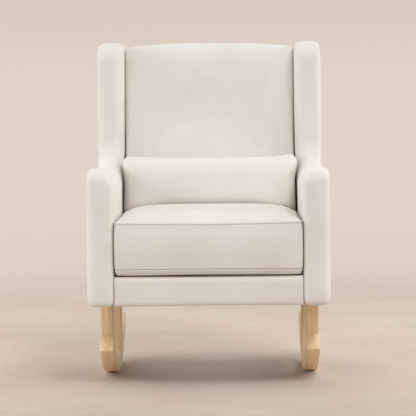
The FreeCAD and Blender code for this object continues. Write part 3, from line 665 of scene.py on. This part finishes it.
# %% Mirror it for the right side
def mirrored_copy(obj, name):
    """A copy with its own mesh, mirrored from left to right."""
    only(obj)
    bpy.ops.object.duplicate()
    other = bpy.context.object
    other.name = other.data.name = name
    bpy.ops.object.mode_set(mode="EDIT")
    bpy.ops.mesh.select_all(action="SELECT")
    bpy.ops.transform.mirror(constraint_axis=(True, False, False), center_override=(0, 0, 0))
    bpy.ops.mesh.normals_make_consistent(inside=False)
    bpy.ops.object.mode_set(mode="OBJECT")
    return other


other_side = mirrored_copy(side, "right_side_unit")
for unit, hand in ((side, "left"), (other_side, "right")):
    finish_piece(unit, "frame", cover, "upholstery", hand + "_side_upholstery", hand + "_wing_pad")
    print(unit.name, "x from", round(min(v.co.x for v in unit.data.vertices), 4),
          "to", round(max(v.co.x for v in unit.data.vertices), 4))

# %% [markdown]
# ## Seat cushion
# A boxed cushion: a top panel and a bottom panel joined by a band along two seams. The top is strongly
# crowned and the bottom edge is tucked under. The crown could be inset ring by ring, but a cloth needs even
# faces, so the block is sliced into a net and a rule shapes it: it rounds the four corners, lifts the top
# and draws the foot in.

# %% Model the seat cushion
seat_low, seat_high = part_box("seat_cushion_cover")
SEAT_PUFF = 0.002                   # the block starts this much inside the solid, for the swelling
SEAM_Z, LOWER_SEAM_Z = 0.4904, seat_low.z + 0.018
SEAM_WIDTH = 0.004
RIM_Z = SEAM_Z + SEAM_WIDTH         # the top panel turns down over the edge to the seam
SEAT_HELD = 0.2797                  # half of the room between the arms, which hold the sides flat
DECK_GAP, FOOT_ROW = 0.0015, 0.006  # deck to the cushion, and its foot to the first cut
SEAT_NET = 0.011                    # size of the faces of the net
low = Vector((-SEAT_HELD, seat_low.y + SEAT_PUFF, seat_low.z + DECK_GAP))
high = Vector((SEAT_HELD, seat_high.y - SEAT_PUFF, RIM_Z))
seat_middle = (low + high) / 2
seat_half = (high - low) / 2


def net_rows(start, end):
    """Even rows between two ends, with a row as narrow as a seam at each end."""
    start, end = start + SEAM_WIDTH, end - SEAM_WIDTH
    return [start, *steps(start, end, SEAT_NET), end]


band_rows = [LOWER_SEAM_Z, *net_rows(LOWER_SEAM_Z, SEAM_Z), SEAM_Z]
cushion = sliced_block("seat_cushion", low, high, net_rows(low.x, high.x), net_rows(low.y, high.y),
                       [low.z + FOOT_ROW, LOWER_SEAM_Z - SEAM_WIDTH, *band_rows])
mark_seam(cushion, "upper_seam", lambda p: near(p.z, SEAM_Z))
mark_seam(cushion, "lower_seam", lambda p: near(p.z, LOWER_SEAM_Z))
print("cushion sliced into", len(cushion.data.polygons), "faces")

# %% Shape it and let it swell
CROWN, CROWN_FLAT, CROWN_FULL = 0.032, 5, 0.7    # rise, how flat its middle is and how full its shoulders
BELLY = 0.001
TUCK, SIDE_TUCK = 0.015, 0.15       # how far the foot is drawn in, and the share of that at the arms
SEAT_CORNER = 0.010


def cushion_form(p):
    """Rounded plan, crowned top, bellied sides and a tucked-under foot."""
    u, v = p.x / seat_half.x, (p.y - seat_middle.y) / seat_half.y
    x, y = round_corner(p.x, p.y - seat_middle.y, seat_half.x, seat_half.y, SEAT_CORNER)
    rise = 0.0
    if near(p.z, RIM_Z):
        rise = CROWN * max(0.0, (1 - abs(u) ** CROWN_FLAT) * (1 - abs(v) ** CROWN_FLAT)) ** CROWN_FULL
    between = (p.z - LOWER_SEAM_Z) / (SEAM_Z - LOWER_SEAM_Z)
    out = BELLY * max(0.0, 4 * between * (1 - between))
    if p.z < LOWER_SEAM_Z:
        deep = (LOWER_SEAM_Z - p.z) / (LOWER_SEAM_Z - low.z)
        out = -TUCK * (1 - math.sqrt(max(0.0, 1 - deep ** 2)))
    out_x = max(out, -SIDE_TUCK * TUCK)
    return Vector((x * (1 + out_x / seat_half.x), seat_middle.y + y * (1 + out / seat_half.y), p.z + rise))


reshape(cushion, cushion_form)
swell(cushion, cap=0.004, pressure=1.0, held=SEAT_HELD)

# %% [markdown]
# The seams come after the swelling, because the thread holds them in while the panels fill out. The upper
# one lies just under the edge of the top, so it is seen as a thin line from the front.

# %% Sew the two seams of the seat cushion
subdivide(cushion)
sew(cushion, "upper_seam", width=0.0036, depth=0.0050)
sew(cushion, "lower_seam", width=0.0036, depth=0.0045)
finish_piece(cushion, "seat_cushion", cover, "upholstery", "seat_cushion_cover", "seat_cushion_foam")
print("cushion crest at", round(max(v.co.z for v in cushion.data.vertices), 4))

# %% [markdown]
# ## Inside back
# The inside back is a tight pad between the wings: a crowned face with a gently bowed top edge. On a slope
# its rule would be hard to read, so it is modelled upright, from the foot of the rear edge, and then leaned
# back on to its frame.

# %% Model the inside back
BACK_HALF, BACK_HELD = 0.2772, 0.2782    # half width as cut, and the room between the wings
BACK_REAR = 0.0552                  # rear face of the chair to the back of this pad
BACK_FOOT, BACK_TOP = 0.0840, 0.7835
BACK_BOX, BACK_CROWN, BACK_BOW = 0.084, 0.038, 0.015
BACK_SIDES = 0.55                   # share of the crown that reaches out to the wings
BACK_FLAT, BACK_FLAT_UP, BACK_FULL = 6, 8, 0.6    # how flat its middle is across and up, and how full
BACK_CORNER, BACK_NET = 0.010, 0.012
back_face = -BACK_REAR - BACK_BOX
back_half_z = (BACK_TOP - BACK_FOOT) / 2
inside_back = sliced_block(
    "inside_back_pad", (-BACK_HALF, back_face, BACK_FOOT), (BACK_HALF, -BACK_REAR, BACK_TOP),
    steps(-BACK_HALF, BACK_HALF, BACK_NET), steps(back_face, -BACK_REAR, BACK_NET),
    steps(BACK_FOOT, BACK_TOP, BACK_NET))


def back_form(p):
    """Crowned face, rounded upper corners and a top edge that bows up in the middle."""
    u, w = p.x / BACK_HALF, (p.z - BACK_FOOT) / back_half_z - 1
    x, z = round_corner(p.x, w * back_half_z, BACK_HALF, back_half_z, BACK_CORNER)
    forward = 0.0
    if near(p.y, back_face):
        full_across = max(0.0, 1 - abs(u) ** BACK_FLAT) ** BACK_FULL
        full_up = max(0.0, 1 - abs(w) ** BACK_FLAT_UP) ** BACK_FULL
        forward = BACK_CROWN * (BACK_SIDES + (1 - BACK_SIDES) * full_across) * full_up
    bow = BACK_BOW * u * u * max(0.0, w)
    return Vector((x, p.y - forward, BACK_FOOT + back_half_z + z - bow))


def lean_back(obj):
    """Leans an upright piece back about the foot of the rear edge and keeps its place in its mesh."""
    obj.rotation_euler = (-LEAN, 0, 0)
    obj.location = (0, REAR_FOOT_Y, REAR_FOOT_Z)
    only(obj)
    bpy.ops.object.transform_apply(location=True, rotation=True, scale=True)


reshape(inside_back, back_form)
lean_back(inside_back)
swell(inside_back, cap=0.004, pressure=1.0, held=BACK_HELD)
subdivide(inside_back)
finish_piece(inside_back, "frame", cover, "upholstery", "inside_back")

# %% [markdown]
# ## Lumbar pillow
# A loose pillow as wide as the seat, two panels sewn along one edge, filled softly. Its middle is full
# and its edge is thin. It starts as a thin sliced slab whose two faces are pushed apart, because that leaves
# the sewn edge in place all round.

# %% Model the lumbar pillow
PILLOW_HALF, PILLOW_HEIGHT, PILLOW_THICK = 0.276, 0.172, 0.114
PILLOW_DROOP = 0.014                # its ends hang this much lower, over the falling ends of the cushion
PILLOW_EAR = 0.004                  # one upper corner stands up a little
PILLOW_WIDER = 0.008                # its ends stand out above the roll of the arms
PILLOW_EDGE = 0.002                 # half of the thickness at the sewn edge
PILLOW_CORNER = 0.012
PILLOW_FLAT, UPPER_FLAT, LOWER_FLAT, PILLOW_FULL = 7, 3.0, 9.0, 0.6    # how flat and how full its faces are
PILLOW_NET_X, PILLOW_NET_Z = 0.009, 0.008
pillow_half_z = PILLOW_HEIGHT / 2
pillow = sliced_block(
    "lumbar_pillow", (-PILLOW_HALF, -PILLOW_EDGE, -pillow_half_z), (PILLOW_HALF, PILLOW_EDGE, pillow_half_z),
    steps(-PILLOW_HALF, PILLOW_HALF, PILLOW_NET_X), [0], steps(-pillow_half_z, pillow_half_z, PILLOW_NET_Z))
mark_seam(pillow, "edge_seam", lambda p: near(p.y, 0))


def pillow_form(p):
    """Full in the middle, thin at the sewn edge, with the corners drawn out a little."""
    u, w = p.x / PILLOW_HALF, p.z / pillow_half_z
    x, z = round_corner(p.x, p.z, PILLOW_HALF, pillow_half_z, PILLOW_CORNER)
    flat = UPPER_FLAT if w > 0 else LOWER_FLAT
    full = max(0.0, (1 - abs(u) ** PILLOW_FLAT) * (1 - abs(w) ** flat)) ** PILLOW_FULL
    y = p.y + math.copysign(PILLOW_THICK / 2 * full, p.y) if abs(p.y) > 1e-6 else 0.0
    droop = PILLOW_DROOP * ease(abs(u), 0.4, 0.95) * max(0.0, -w)
    ear = PILLOW_EAR * ease(u, 0.80, 0.97) * ease(w, 0.2, 1.0)
    wide = 1 + PILLOW_WIDER / PILLOW_HALF * ease(w, 0.0, 0.7) * ease(-w, -1.0, -0.7)
    return Vector((x * wide, y, z - droop + ear))


reshape(pillow, pillow_form)
print("pillow of", len(pillow.data.polygons), "faces")

# %% [markdown]
# The pillow leans on the inside back and beds on the cushion. It could be left to fall in a simulation, but
# it would not come to rest where the photograph has it. So it is leaned, put in its place and swollen; then
# what sinks into the cushion is lifted straight up on to it, and what sinks into the back is moved out.

# %% Put it in its place and bed it
PILLOW_PLACE = (0, 0.1110, 0.5900)
PILLOW_HELD = 0.286                 # half of the room between the wings
PILLOW_GAP = 0.0012                 # stays free between the pillow and what it lies against
pillow.rotation_euler = (-LEAN, 0, 0)
pillow.location = PILLOW_PLACE
only(pillow)
bpy.ops.object.transform_apply(location=True, rotation=True, scale=True)
swell(pillow, cap=0.006, pressure=4.0, held=PILLOW_HELD)
subdivide(pillow)
sew(pillow, "edge_seam", width=0.0024, depth=0.0015)
bedded = pillow.modifiers.new("bedded", "SHRINKWRAP")
bedded.target = cushion
bedded.wrap_method = "PROJECT"
bedded.use_project_z = True
bedded.offset = PILLOW_GAP
leant = pillow.modifiers.new("leant", "SHRINKWRAP")
leant.target = inside_back
leant.wrap_method = "NEAREST_SURFACEPOINT"
leant.wrap_mode = "OUTSIDE"
leant.offset = PILLOW_GAP
apply_all(pillow)
finish_piece(pillow, "lumbar_pillow", cover, "upholstery", "lumbar_pillow_cover", "lumbar_pillow_fill")

# %% [markdown]
# ## Front border, outside back and top roll
# The front border is a padded rail between the arms, the outside back a flat panel between the wings, and
# the roll closes the top between the two backs. All are thin padding over wood and swell very little or
# not at all, so a block with rounded edges is enough.

# %% Model the front border
PANEL_STEPS, EASE_STEPS = 6, 3


def rounded_panel(name, low, high, roundings, leaning):
    """A padded panel; the edges across the chair at given (y, z) places are rounded, each by its own size."""
    panel = block(name, low, high)
    edit(panel)
    for (y, z), size in roundings:
        pick(panel, "EDGE", lambda e: runs_along(e, 0) and near(middle(e).y, y) and near(middle(e).z, z))
        bpy.ops.mesh.bevel(offset=size, segments=PANEL_STEPS, affect="EDGES")
    done()
    if leaning:
        lean_back(panel)
    return panel


def ease_edges(obj, size):
    """Rounds what is left sharp and shades the piece smoothly."""
    eased = obj.modifiers.new("eased", "BEVEL")
    eased.width = size
    eased.segments = EASE_STEPS
    eased.limit_method = "ANGLE"
    apply_all(obj)
    bpy.ops.object.shade_smooth_by_angle(angle=math.radians(35))


BORDER_LOW_ROOM = Vector((0, 0.002, -0.004))    # to swell in front, and spare for the rounding below
BORDER_HIGH_ROOM = Vector((0, 0, 0.001))
BORDER_TOP, BORDER_FOOT = 0.012, 0.009          # roundings of its front edges
BORDER_VOXEL, BORDER_EASING = 0.005, 3
BORDER_HELD = 0.2812                            # half of the room between the arms
border_low, border_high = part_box("front_border")
border_low, border_high = border_low + BORDER_LOW_ROOM, border_high - BORDER_HIGH_ROOM
border_edges = [((border_low.y, border_high.z), BORDER_TOP), ((border_low.y, border_low.z), BORDER_FOOT)]
border = rounded_panel("front_border_pad", border_low, border_high, border_edges, False)
even_out(border, BORDER_VOXEL, BORDER_EASING)
swell(border, cap=0.002, pressure=1.0, held=BORDER_HELD)
bpy.ops.object.shade_smooth()
finish_piece(border, "frame", cover, "upholstery", "front_border")

# %% Model the outside back and the top roll
PANEL_HALF = 0.2856                 # reaches under the rounded edges of the wings
PANEL_REAR, PANEL_FRONT, ROLL_FRONT = -0.003, -0.008, -0.0540    # places from the rear face of the chair
PANEL_FOOT, ROLL_FOOT, ROLL_TOP = 0.001, 0.7105, 0.7520
ROLL_ROUNDING, ROLL_GAP, PANEL_EDGE = 0.038, 0.0005, 0.002
outside = rounded_panel("outside_back_panel", (-PANEL_HALF, PANEL_FRONT, PANEL_FOOT),
                        (PANEL_HALF, PANEL_REAR, ROLL_FOOT), [], True)
ease_edges(outside, PANEL_EDGE)
finish_piece(outside, "frame", cover, "upholstery", "outside_back")
roll = rounded_panel("back_top_roll", (-PANEL_HALF, ROLL_FRONT, ROLL_FOOT + ROLL_GAP),
                     (PANEL_HALF, PANEL_REAR, ROLL_TOP), [((PANEL_REAR, ROLL_TOP), ROLL_ROUNDING)], True)
ease_edges(roll, PANEL_EDGE)
finish_piece(roll, "frame", cover, "upholstery", "back_top_pad")
print("panels:", outside.name, len(outside.data.polygons), roll.name, len(roll.data.polygons), "faces")

# %% [markdown]
# ## Deck and dust cover
# Under the loose cushion lies the deck, cotton over felt on the webbing: a flat pad with eased edges.

# %% Model the deck
DECK_FOOT_ROOM, DECK_TOP_ROOM = Vector((0.001, 0.001, 0.0005)), Vector((0.001, 0.001, 0.001))
DECK_EDGE = 0.003
deck_low, deck_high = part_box("seat_deck")
deck = rounded_panel("seat_deck_pad", deck_low + DECK_FOOT_ROOM, deck_high - DECK_TOP_ROOM, [], False)
ease_edges(deck, DECK_EDGE)
finish_piece(deck, "frame", deck_cotton, "deck_cloth", "seat_deck")
print("deck of", len(deck.data.polygons), "faces")

# %% [markdown]
# A black cloth is stapled under the four seat rails and keeps dust out. It is tight, so no simulation is
# needed: a plane is divided, its middle sags by a few millimetres, and it gets the thickness of cloth.

# %% Model the dust cover
DUST_SAG, DUST_THICKNESS = 0.004, 0.0008
DUST_CUTS, SAG_FLAT = 23, 4
STAPLED = 0.0004                    # top of the solid to the middle of the cloth at the rails
dust_low, dust_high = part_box("dust_cover")
dust_middle = (dust_low + dust_high) / 2
dust_half = (dust_high - dust_low) / 2
bpy.ops.object.select_all(action="DESELECT")
bpy.ops.mesh.primitive_plane_add(size=1, location=(dust_middle.x, dust_middle.y, dust_high.z - STAPLED))
dust = bpy.context.object
dust.name = dust.data.name = "dust_cover_sheet"
dust.scale = (dust_high.x - dust_low.x, dust_high.y - dust_low.y, 1)
bpy.ops.object.transform_apply(location=True, rotation=True, scale=True)
edit(dust)
bpy.ops.mesh.subdivide(number_cuts=DUST_CUTS)
done()


def dust_form(p):
    """Stapled tight at the rails, with a slight sag in the middle."""
    u, v = p.x / dust_half.x, (p.y - dust_middle.y) / dust_half.y
    return Vector((p.x, p.y, p.z - DUST_SAG * max(0.0, (1 - u ** SAG_FLAT) * (1 - v ** SAG_FLAT))))


reshape(dust, dust_form)
thick = dust.modifiers.new("cloth_thickness", "SOLIDIFY")
thick.thickness = DUST_THICKNESS
apply_all(dust)
bpy.ops.object.shade_smooth_by_angle(angle=math.radians(40))
finish_piece(dust, "frame", dust_cloth, "dust_cloth", "dust_cover")
print("dust cover of", len(dust.data.polygons), "faces")

# %% [markdown]
# ## Runners
# Each runner is a straight-grained oak lath bent to a circle, with square-cut ends and eased edges. A curve
# with a bevel would give the bend but no clean ends, so its end face is drawn first.

# %% Model the left runner
RUNNER_DEPTH, RUNNER_REACH = 0.050, 0.370    # thickness of the lath, and floor contact to either end
END_ANGLE = math.asin(RUNNER_REACH / RUNNER_RADIUS)
bpy.ops.object.select_all(action="DESELECT")
bpy.ops.mesh.primitive_plane_add(size=1, location=(0, 0, 0))
runner = bpy.context.object
runner.name = runner.data.name = "left_runner_lath"
runner.scale = (runner_high.x - runner_low.x, RUNNER_DEPTH, 1)
runner.rotation_euler = (-math.pi / 2 - END_ANGLE, 0, 0)
outward = Vector((0, -math.sin(END_ANGLE), -math.cos(END_ANGLE)))
runner.location = RUNNER_CENTRE + outward * (RUNNER_RADIUS - RUNNER_DEPTH / 2)
runner.location.x = (runner_low.x + runner_high.x) / 2
bpy.ops.object.transform_apply(location=True, rotation=True, scale=True)
print("end face from z", round(min(v.co.z for v in runner.data.vertices), 4))

# %% [markdown]
# The end face is spun about the middle of the bend, which leaves a true circle for the chair to rock on.
# A spin can turn a shape inside out, so its normals are recalculated before the edges are eased. The right
# runner is a mirrored copy.

# %% Bend it and ease its edges
BEND_STEPS, RUNNER_EDGE, SHARP_ANGLE = 56, 0.003, 1.0
edit(runner)
bpy.ops.mesh.select_all(action="SELECT")
bpy.ops.mesh.spin(steps=BEND_STEPS, angle=-2 * END_ANGLE, center=RUNNER_CENTRE, axis=(1, 0, 0))
bpy.ops.mesh.select_all(action="SELECT")
bpy.ops.mesh.remove_doubles(threshold=0.00005)
bpy.ops.mesh.normals_make_consistent(inside=False)


def sharp(edge):
    return len(edge.link_faces) == 2 and edge.calc_face_angle() > SHARP_ANGLE


print("eased edges", pick(runner, "EDGE", sharp))
bpy.ops.mesh.bevel(offset=RUNNER_EDGE, segments=EASE_STEPS, affect="EDGES")
done()
bpy.ops.object.shade_smooth_by_angle(angle=math.radians(25))
right_runner = mirrored_copy(runner, "right_runner_lath")
for lath, hand in ((runner, "left"), (right_runner, "right")):
    finish_piece(lath, "frame", oak_runner, "oak", hand + "_runner")
    print(lath.name, [round(min(v.co[i] for v in lath.data.vertices), 4) for i in range(3)],
          [round(max(v.co[i] for v in lath.data.vertices), 4) for i in range(3)])

# %% [markdown]
# ## Finishes on the solids that stay
# Legs, the hidden frame, the webbing and the fasteners are plain, exact pieces that the solids already show
# well, so they are not modelled again and only get a finish.

# %% Finish the remaining solids
finishes = {"oak": oak_leg, "frame_wood": frame_wood, "steel": steel, "webbing": jute,
            "deck_cloth": deck_cotton, "dust_cloth": dust_cloth, "foam": foam, "upholstery": cover}
for part in frame["record"]["subparts"]:
    solid = frame["nodes"][part["node"]]
    solid.data.materials.clear()
    solid.data.materials.append(finishes[part["material_slot"]])

# %% [markdown]
# ## Studio
# The chair stands in a seamless beige studio. A wall would hide the chair from behind, so there is only a
# pale floor here. Round the chair it is solid and keeps the shadow; further out it fades away, and the
# surround behind it has the same beige, so that no line shows from any side.

# %% Floor
FLOOR_SIZE = 12
FADE_START, FADE_END = 1.7, 4.2     # distances from the middle between which the floor fades
FLOOR_NEAR, FLOOR_FAR = -1.3, 0.2   # places along y between which its tone rises: in front of the first the floor is painted darker, a painted shade
FLOOR_CLOUDS, FIBRE = 2.2, 25 * MM  # clouds per metre, each about 450 mm, and the size of the fibres
FLOOR_DROP = 0.5 * MM               # keeps the floor clear of the runners
bpy.ops.object.select_all(action="DESELECT")
bpy.ops.mesh.primitive_plane_add(size=FLOOR_SIZE, location=(0, 0, -FLOOR_DROP))
floor = bpy.context.object
floor.name = floor.data.name = "studio_floor"
bpy.ops.object.transform_apply(location=True, rotation=True, scale=True)


def painted_floor():
    """Matt painted studio floor with soft clouds of tone, fine fibres and a painted shade in front, fading out
    far off.
    """
    material, shader = new_material("painted_studio_floor")
    place = add_node(material, "ShaderNodeTexCoord").outputs["Object"]
    forward = add_node(material, "ShaderNodeSeparateXYZ", _0=place).outputs["Y"]
    # painted shade: the floor's tone is darker towards the front and rises to its own tone between FLOOR_NEAR
    # and FLOOR_FAR
    painted_front_shade = add_node(material, "ShaderNodeMapRange", Value=forward, _1=FLOOR_NEAR, _2=FLOOR_FAR).outputs[0]
    clouds = add_node(material, "ShaderNodeTexNoise", Vector=place, Scale=FLOOR_CLOUDS,
                      Detail=5.0).outputs["Fac"]
    fibres = add_node(material, "ShaderNodeTexNoise", Vector=place, Scale=1 / FIBRE, Detail=4.0).outputs["Fac"]
    colour = add_node(material, "ShaderNodeValToRGB", stops=[(0.0, "BFB4A8"), (1.0, "DDD0C4")],
                      _0=painted_front_shade).outputs[0]
    for factor, stops in ((clouds, [(0.35, "F6F4F2"), (0.65, "FFFFFF")]),
                          (fibres, [(0.3, "F7F5F3"), (0.7, "FFFFFF")])):
        tint = add_node(material, "ShaderNodeValToRGB", stops=stops, _0=factor).outputs[0]
        colour = add_node(material, "ShaderNodeMix", {"data_type": "RGBA", "blend_type": "MULTIPLY"},
                          _0=1.0, _6=colour, _7=tint).outputs[2]
    reach = add_node(material, "ShaderNodeVectorMath", {"operation": "LENGTH"}, _0=place).outputs["Value"]
    solid = add_node(material, "ShaderNodeMapRange", {"interpolation_type": "SMOOTHSTEP"}, Value=reach,
                     _1=FADE_START, _2=FADE_END, _3=1.0, _4=0.0).outputs[0]
    material.node_tree.links.new(colour, shader.inputs["Base Color"])
    material.node_tree.links.new(solid, shader.inputs["Alpha"])
    shader.inputs["Roughness"].default_value = 0.95
    shader.inputs["Specular IOR Level"].default_value = 0.1
    return material


floor.data.materials.append(painted_floor())
print("floor of", FLOOR_SIZE, "m, solid to", FADE_START, "m")

# %% [markdown]
# ## Light
# Soft studio light: a large box light from above the camera, a little to the right, a weak one from the low
# front left that opens the shadows under the chair, and a lit screen on either side, which brightens the
# rounded edges. A single sun would be simpler, but its hard shadows don't suit cloth.

# %% Lamps and surround
def box_light(name, place, target, size, power):
    bpy.ops.object.select_all(action="DESELECT")
    bpy.ops.object.light_add(type="AREA", location=place)
    lamp = bpy.context.object
    lamp.name = name
    lamp.data.shape = "SQUARE"
    lamp.data.size = size
    lamp.data.energy = power
    lamp.rotation_euler = (Vector(target) - Vector(place)).to_track_quat("-Z", "Y").to_euler()
    print(name, "size", size, "power", power)


box_light("key_right", (3.1, -6.0, 7.6), (0, 0, 0.5), 3.4, 300)
box_light("fill_left", (-2.2, -3.8, 0.95), (0, 0, 0.2), 1.6, 27)
box_light("screen_right", (5.0, -0.4, 2.0), (0, 0, 0.6), 2.4, 78)
box_light("screen_left", (-5.0, -0.4, 2.0), (0, 0, 0.6), 2.4, 78)

# %% [markdown]
# The surround is a plain dome that is brighter overhead and at both sides than in front, like a studio
# with a white ceiling and white screens. It lights edges more than flat fronts. The camera and reflections
# see another surround instead: the studio's beige, a little darker at the top and near the floor.

# %% Surround
HORIZON, CEILING = 0.44, 0.93       # strength of the dome
FRONT_LOSS, SIDE_GAIN = -0.34, 0.35
BEIGE_FOOT, BEIGE_TOP = -0.12, 0.05    # heights of view between which the beige changes
world = bpy.data.worlds.new("studio_surround")
scene.world = world
world.use_nodes = True
direction = add_node(world, "ShaderNodeTexCoord").outputs["Generated"]
across, forward, upward = add_node(world, "ShaderNodeSeparateXYZ", _0=direction).outputs
sides = add_node(world, "ShaderNodeMath", {"operation": "MULTIPLY"}, _0=across, _1=across).outputs[0]
overhead = add_node(world, "ShaderNodeMapRange", Value=upward, _1=0.0, _2=1.0, _3=HORIZON,
                    _4=CEILING).outputs[0]
ahead = add_node(world, "ShaderNodeMapRange", Value=forward, _1=-1.0, _2=0.0, _3=FRONT_LOSS,
                 _4=0.0).outputs[0]
even = add_node(world, "ShaderNodeMath", {"operation": "ADD"}, _0=overhead, _1=ahead).outputs[0]
strength = add_node(world, "ShaderNodeMath", {"operation": "MULTIPLY_ADD"}, _0=sides, _1=SIDE_GAIN,
                    _2=even).outputs[0]
dome = add_node(world, "ShaderNodeBackground", Color=linear("F2F1F0"), Strength=strength).outputs[0]
band = add_node(world, "ShaderNodeMapRange", Value=upward, _1=BEIGE_FOOT, _2=BEIGE_TOP).outputs[0]
beige = add_node(world, "ShaderNodeValToRGB", _0=band, stops=[
    (0.0, "D8CABF"), (0.4, "E0D3C8"), (0.75, "E0D3C8"), (1.0, "D6C8BD")]).outputs[0]
backdrop = add_node(world, "ShaderNodeBackground", Color=beige).outputs[0]
paths = add_node(world, "ShaderNodeLightPath")
seen = add_node(world, "ShaderNodeMath", {"operation": "MAXIMUM"}, _0=paths.outputs["Is Camera Ray"],
                _1=paths.outputs["Is Glossy Ray"]).outputs[0]
mixed = add_node(world, "ShaderNodeMixShader", _0=seen, _1=dome, _2=backdrop).outputs[0]
world.node_tree.links.new(mixed, world.node_tree.nodes["World Output"].inputs["Surface"])
scene.view_settings.view_transform = "Standard"
print("surround", world.name, "from", HORIZON, "to", CEILING)
